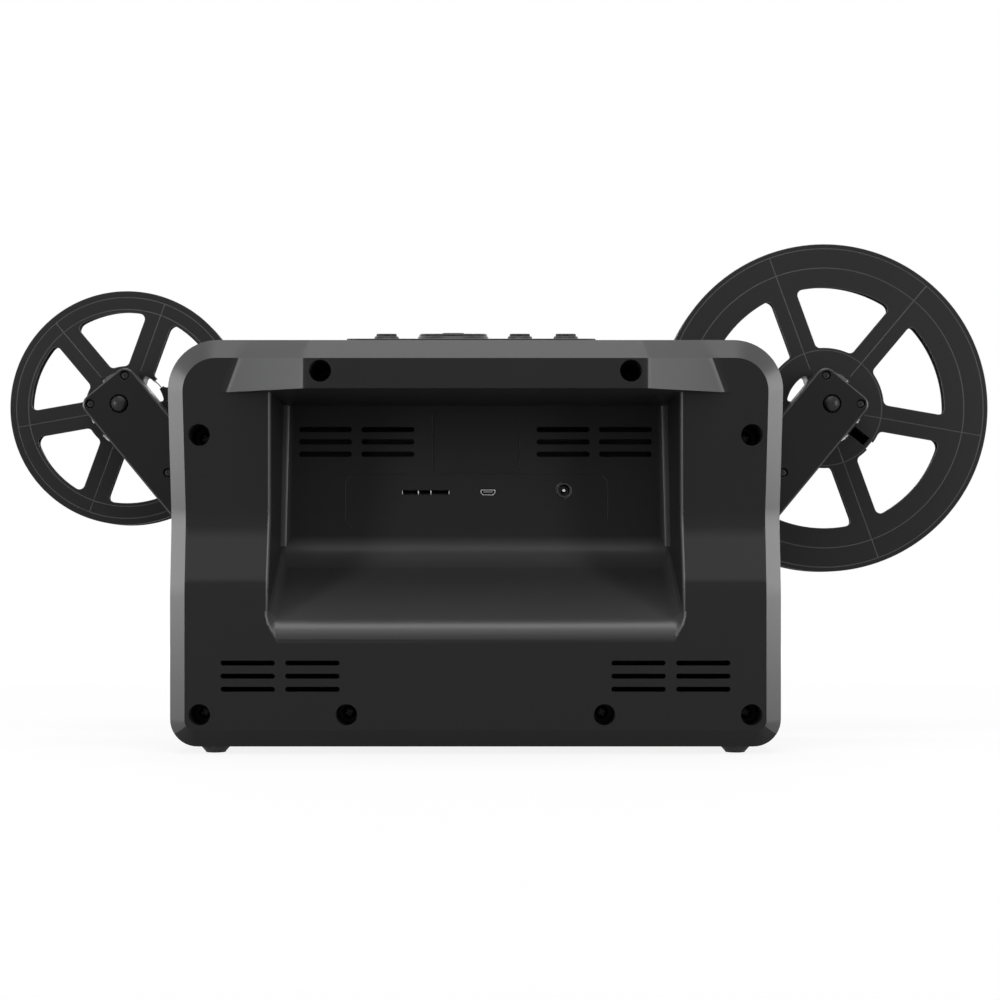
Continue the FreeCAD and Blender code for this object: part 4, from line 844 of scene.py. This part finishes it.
def makeHollow():
    (y, z), (away, down), reach = hollow["corner"], hollow["slope"], hollow["reach"]
    between = math.acos(down)
    radius = reach * math.tan(between / 2)
    middle = (y + radius, z + reach)
    sweep = math.pi - between
    arc = arcPoints(middle, radius, math.pi, math.pi + sweep, hollow["steps"])
    sunk = hollow["sunk"]
    back = [(y + away * reach - sunk * 0.5, z + down * reach - sunk), (y - sunk, z - sunk),
            (y - sunk, z + reach)]
    outline = arc + back
    half = hollow["half"]
    work = bmesh.new()
    rings = [[work.verts.new((x * mm, a * mm, b * mm)) for a, b in outline] for x in (-half, half)]
    for k in range(len(outline)):
        after = (k + 1) % len(outline)
        work.faces.new([rings[0][k], rings[0][after], rings[1][after], rings[1][k]])
    for ring in rings:
        work.faces.new(ring)
    obj = asPiece("ledgeHollow", finishedMesh("ledgeHollow", work), "rear_cover")
    shadeByAngle(obj.data, hollow["sharp"])
    soften(obj, 0)
    # painted highlight on the hollow, paler as its corner's normal turns up
    markCorners(obj, "polish", lambda normal, middle, corner:
                hollow["polish"] * min(1.0, max(0.0, corner.z) / hollow["fade"]))
    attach(obj, bodyOf["rear_cover"])
    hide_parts("rear_cover")


panelLines = {"height": -8.0, "rise": 0.14, "root": 0.1, "width": 0.42, "turn": 6.0, "polish": 2.0,
              "ports": ((-68.8, 67.6), (112.9, 140.8)), "label": ((-22.9, 22.4), (143.5, 171.5))}


def makePanelLines():  # the fine moulded lips beside the two plain panels
    (left, right), (low, high) = panelLines["ports"]
    turn = panelLines["turn"]
    paths = [
        arcPoints((right - turn, high - turn), turn, math.pi / 3, 0, 6)
        + arcPoints((right - turn, low + turn), turn, 0, -math.pi / 3, 6),
        arcPoints((left + turn, high - turn), turn, 2 * math.pi / 3, math.pi, 6)
        + arcPoints((left + turn, low + turn), turn, math.pi, 4 * math.pi / 3, 6),
    ]
    edges, (low, high) = panelLines["label"]
    paths += [[(x, high), (x, low)] for x in edges]
    base, top = (panelLines["height"] + over for over in (-panelLines["root"], panelLines["rise"]))
    half = panelLines["width"] / 2
    work = bmesh.new()
    for path in paths:
        rings = []
        for k, (x, z) in enumerate(path):
            before, after = Vector(path[max(k - 1, 0)]), Vector(path[min(k + 1, len(path) - 1)])
            along = (after - before).normalized()
            out = Vector((along.y, -along.x)) * half
            points = [(x - out.x, base, z - out.y), (x, top, z), (x + out.x, base, z + out.y)]
            rings.append([work.verts.new(Vector(point) * mm) for point in points])
        for one, two in zip(rings, rings[1:]):
            for k in range(3):
                work.faces.new([one[k], one[(k + 1) % 3], two[(k + 1) % 3], two[k]])
        work.faces.new(rings[0])
        work.faces.new(rings[-1])
    obj = asPiece("panelLips", finishedMesh("panelLips", work), "rear_cover")
    soften(obj, 0)
    # the lips get a coat and a painted highlight (paler base colour)
    markCorners(obj, "polish", lambda normal, middle, corner: panelLines["polish"])
    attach(obj, bodyOf["rear_cover"])
    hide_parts("rear_cover")


contacts = {"places": (23.2, 29.7, 13.7, 38.1), "width": 0.45, "depth": (-11.2, -9.4),
            "height": (130.2, 132.3), "edge": 0.08, "bright": 0.8}


def makeContacts():
    half = contacts["width"] / 2
    back, mouth = contacts["depth"]
    lofts = [[([(x - half, back), (x + half, back), (x + half, mouth), (x - half, mouth)], height)
              for height in contacts["height"]] for x in contacts["places"]]
    obj = asPiece("cardContacts", loftedMesh("cardContacts", lofts), "sd_socket")
    soften(obj, contacts["edge"])
    markCorners(obj, "bright", lambda normal, middle, corner: contacts["bright"])
    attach(obj, bodyOf["sd_socket"])
    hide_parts("sd_socket")


makeHollow()
makePanelLines()
makeContacts()
print("additions to the rear made")


# stage and light

def seenDirectly(graph):  # 1 for what the camera, a mirror or glass sees, 0 for what lights the object
    path = graph.node("ShaderNodeLightPath", output=None)
    camera, glossy, through = (Wire(graph, path.outputs[kind]) for kind in
                               ("Is Camera Ray", "Is Glossy Ray", "Is Transmission Ray"))
    return (camera + glossy + through).math("MINIMUM", 1.0)


stageSettings = {
    "floorSize": 6.0,
    "floorColour": 0.2,
    "floorGlow": (0.86, 1.0),
    "fade": (0.7, 1.6),
    "worldLight": 0.05,
}


def makeFloor():
    half = stageSettings["floorSize"] / 2
    mesh = bpy.data.meshes.new("floor")
    corners = [(-half, -half, 0), (half, -half, 0), (half, half, 0), (-half, half, 0)]
    mesh.from_pydata(corners, [], [range(4)])
    floor = bpy.data.objects.new("floor", mesh)
    bpy.context.scene.collection.objects.link(floor)
    graph = Graph("paleFloor")
    level = stageSettings["floorColour"]
    paint = graph.node("ShaderNodeBsdfDiffuse", None, {"Color": (level, level, level, 1)})
    near, far = stageSettings["fade"]
    distance = graph.node("ShaderNodeVectorMath", {"operation": "LENGTH"}, {0: graph.place()}, output="Value")
    share = graph.node("ShaderNodeMapRange", None, {"Value": distance, "From Min": near, "From Max": far})
    dim, full = (graph.node("ShaderNodeEmission", None, {"Strength": strength})
                 for strength in stageSettings["floorGlow"])
    glow = graph.node("ShaderNodeMixShader", None, {0: share, 1: dim, 2: full})
    bright = graph.node("ShaderNodeAddShader", None, {0: paint, 1: glow})
    mixed = graph.node("ShaderNodeMixShader", None, {0: seenDirectly(graph), 1: paint, 2: bright})
    graph.finish(mixed)
    mesh.materials.append(graph.material)


def makeWorld():
    world = bpy.data.worlds.new("studio")
    world.use_nodes = True
    graph = Graph("studio", world)
    lit = graph.node("ShaderNodeBackground", {"label": "lit"}, {"Strength": stageSettings["worldLight"]})
    white = graph.node("ShaderNodeBackground", {"label": "white"}, {"Color": (1, 1, 1, 1), "Strength": 1.0})
    mixed = graph.node("ShaderNodeMixShader", None, {0: seenDirectly(graph), 1: lit, 2: white})
    graph.finish(mixed)
    bpy.context.scene.world = world


def softbox(name, place, size, power):
    light = bpy.data.objects.new(name, bpy.data.lights.new(name, "AREA"))
    light.data.shape = "RECTANGLE"
    light.data.size, light.data.size_y = size
    light.data.energy = power
    light.location = place
    light.rotation_euler = (Vector(lampAim) - Vector(place)).to_track_quat("-Z", "Y").to_euler()
    bpy.context.scene.collection.objects.link(light)


lampAim = (0, 0, 0.12)
lamps = {
    "overhead": {"place": (0.0, -0.12, 1.35), "size": (1.0, 0.4), "power": 2.8},
    "overRear": {"place": (0.0, 0.55, 1.35), "size": (1.0, 0.5), "power": 5.6},
    "highRear": {"place": (0.0, 1.25, 1.10), "size": (1.0, 0.3), "power": 1.0},
    "leftSide": {"place": (1.5, -0.22, 0.36), "size": (0.6, 0.7), "power": 6.6},
    "rightSide": {"place": (-1.5, -0.22, 0.36), "size": (0.6, 0.7), "power": 6.6},
    "leftQuarter": {"place": (1.05, 1.0, 0.34), "size": (0.25, 0.6), "power": 4.4},
    "rightQuarter": {"place": (-1.05, 1.0, 0.34), "size": (0.25, 0.6), "power": 4.4},
    "front": {"place": (0.0, -1.6, 0.5), "size": (1.6, 0.8), "power": 11.0},
}
makeFloor()
makeWorld()
for name, values in lamps.items():
    softbox(name, values["place"], values["size"], values["power"])
bpy.context.scene.view_settings.view_transform = "Standard"
print("stage and lights ready")
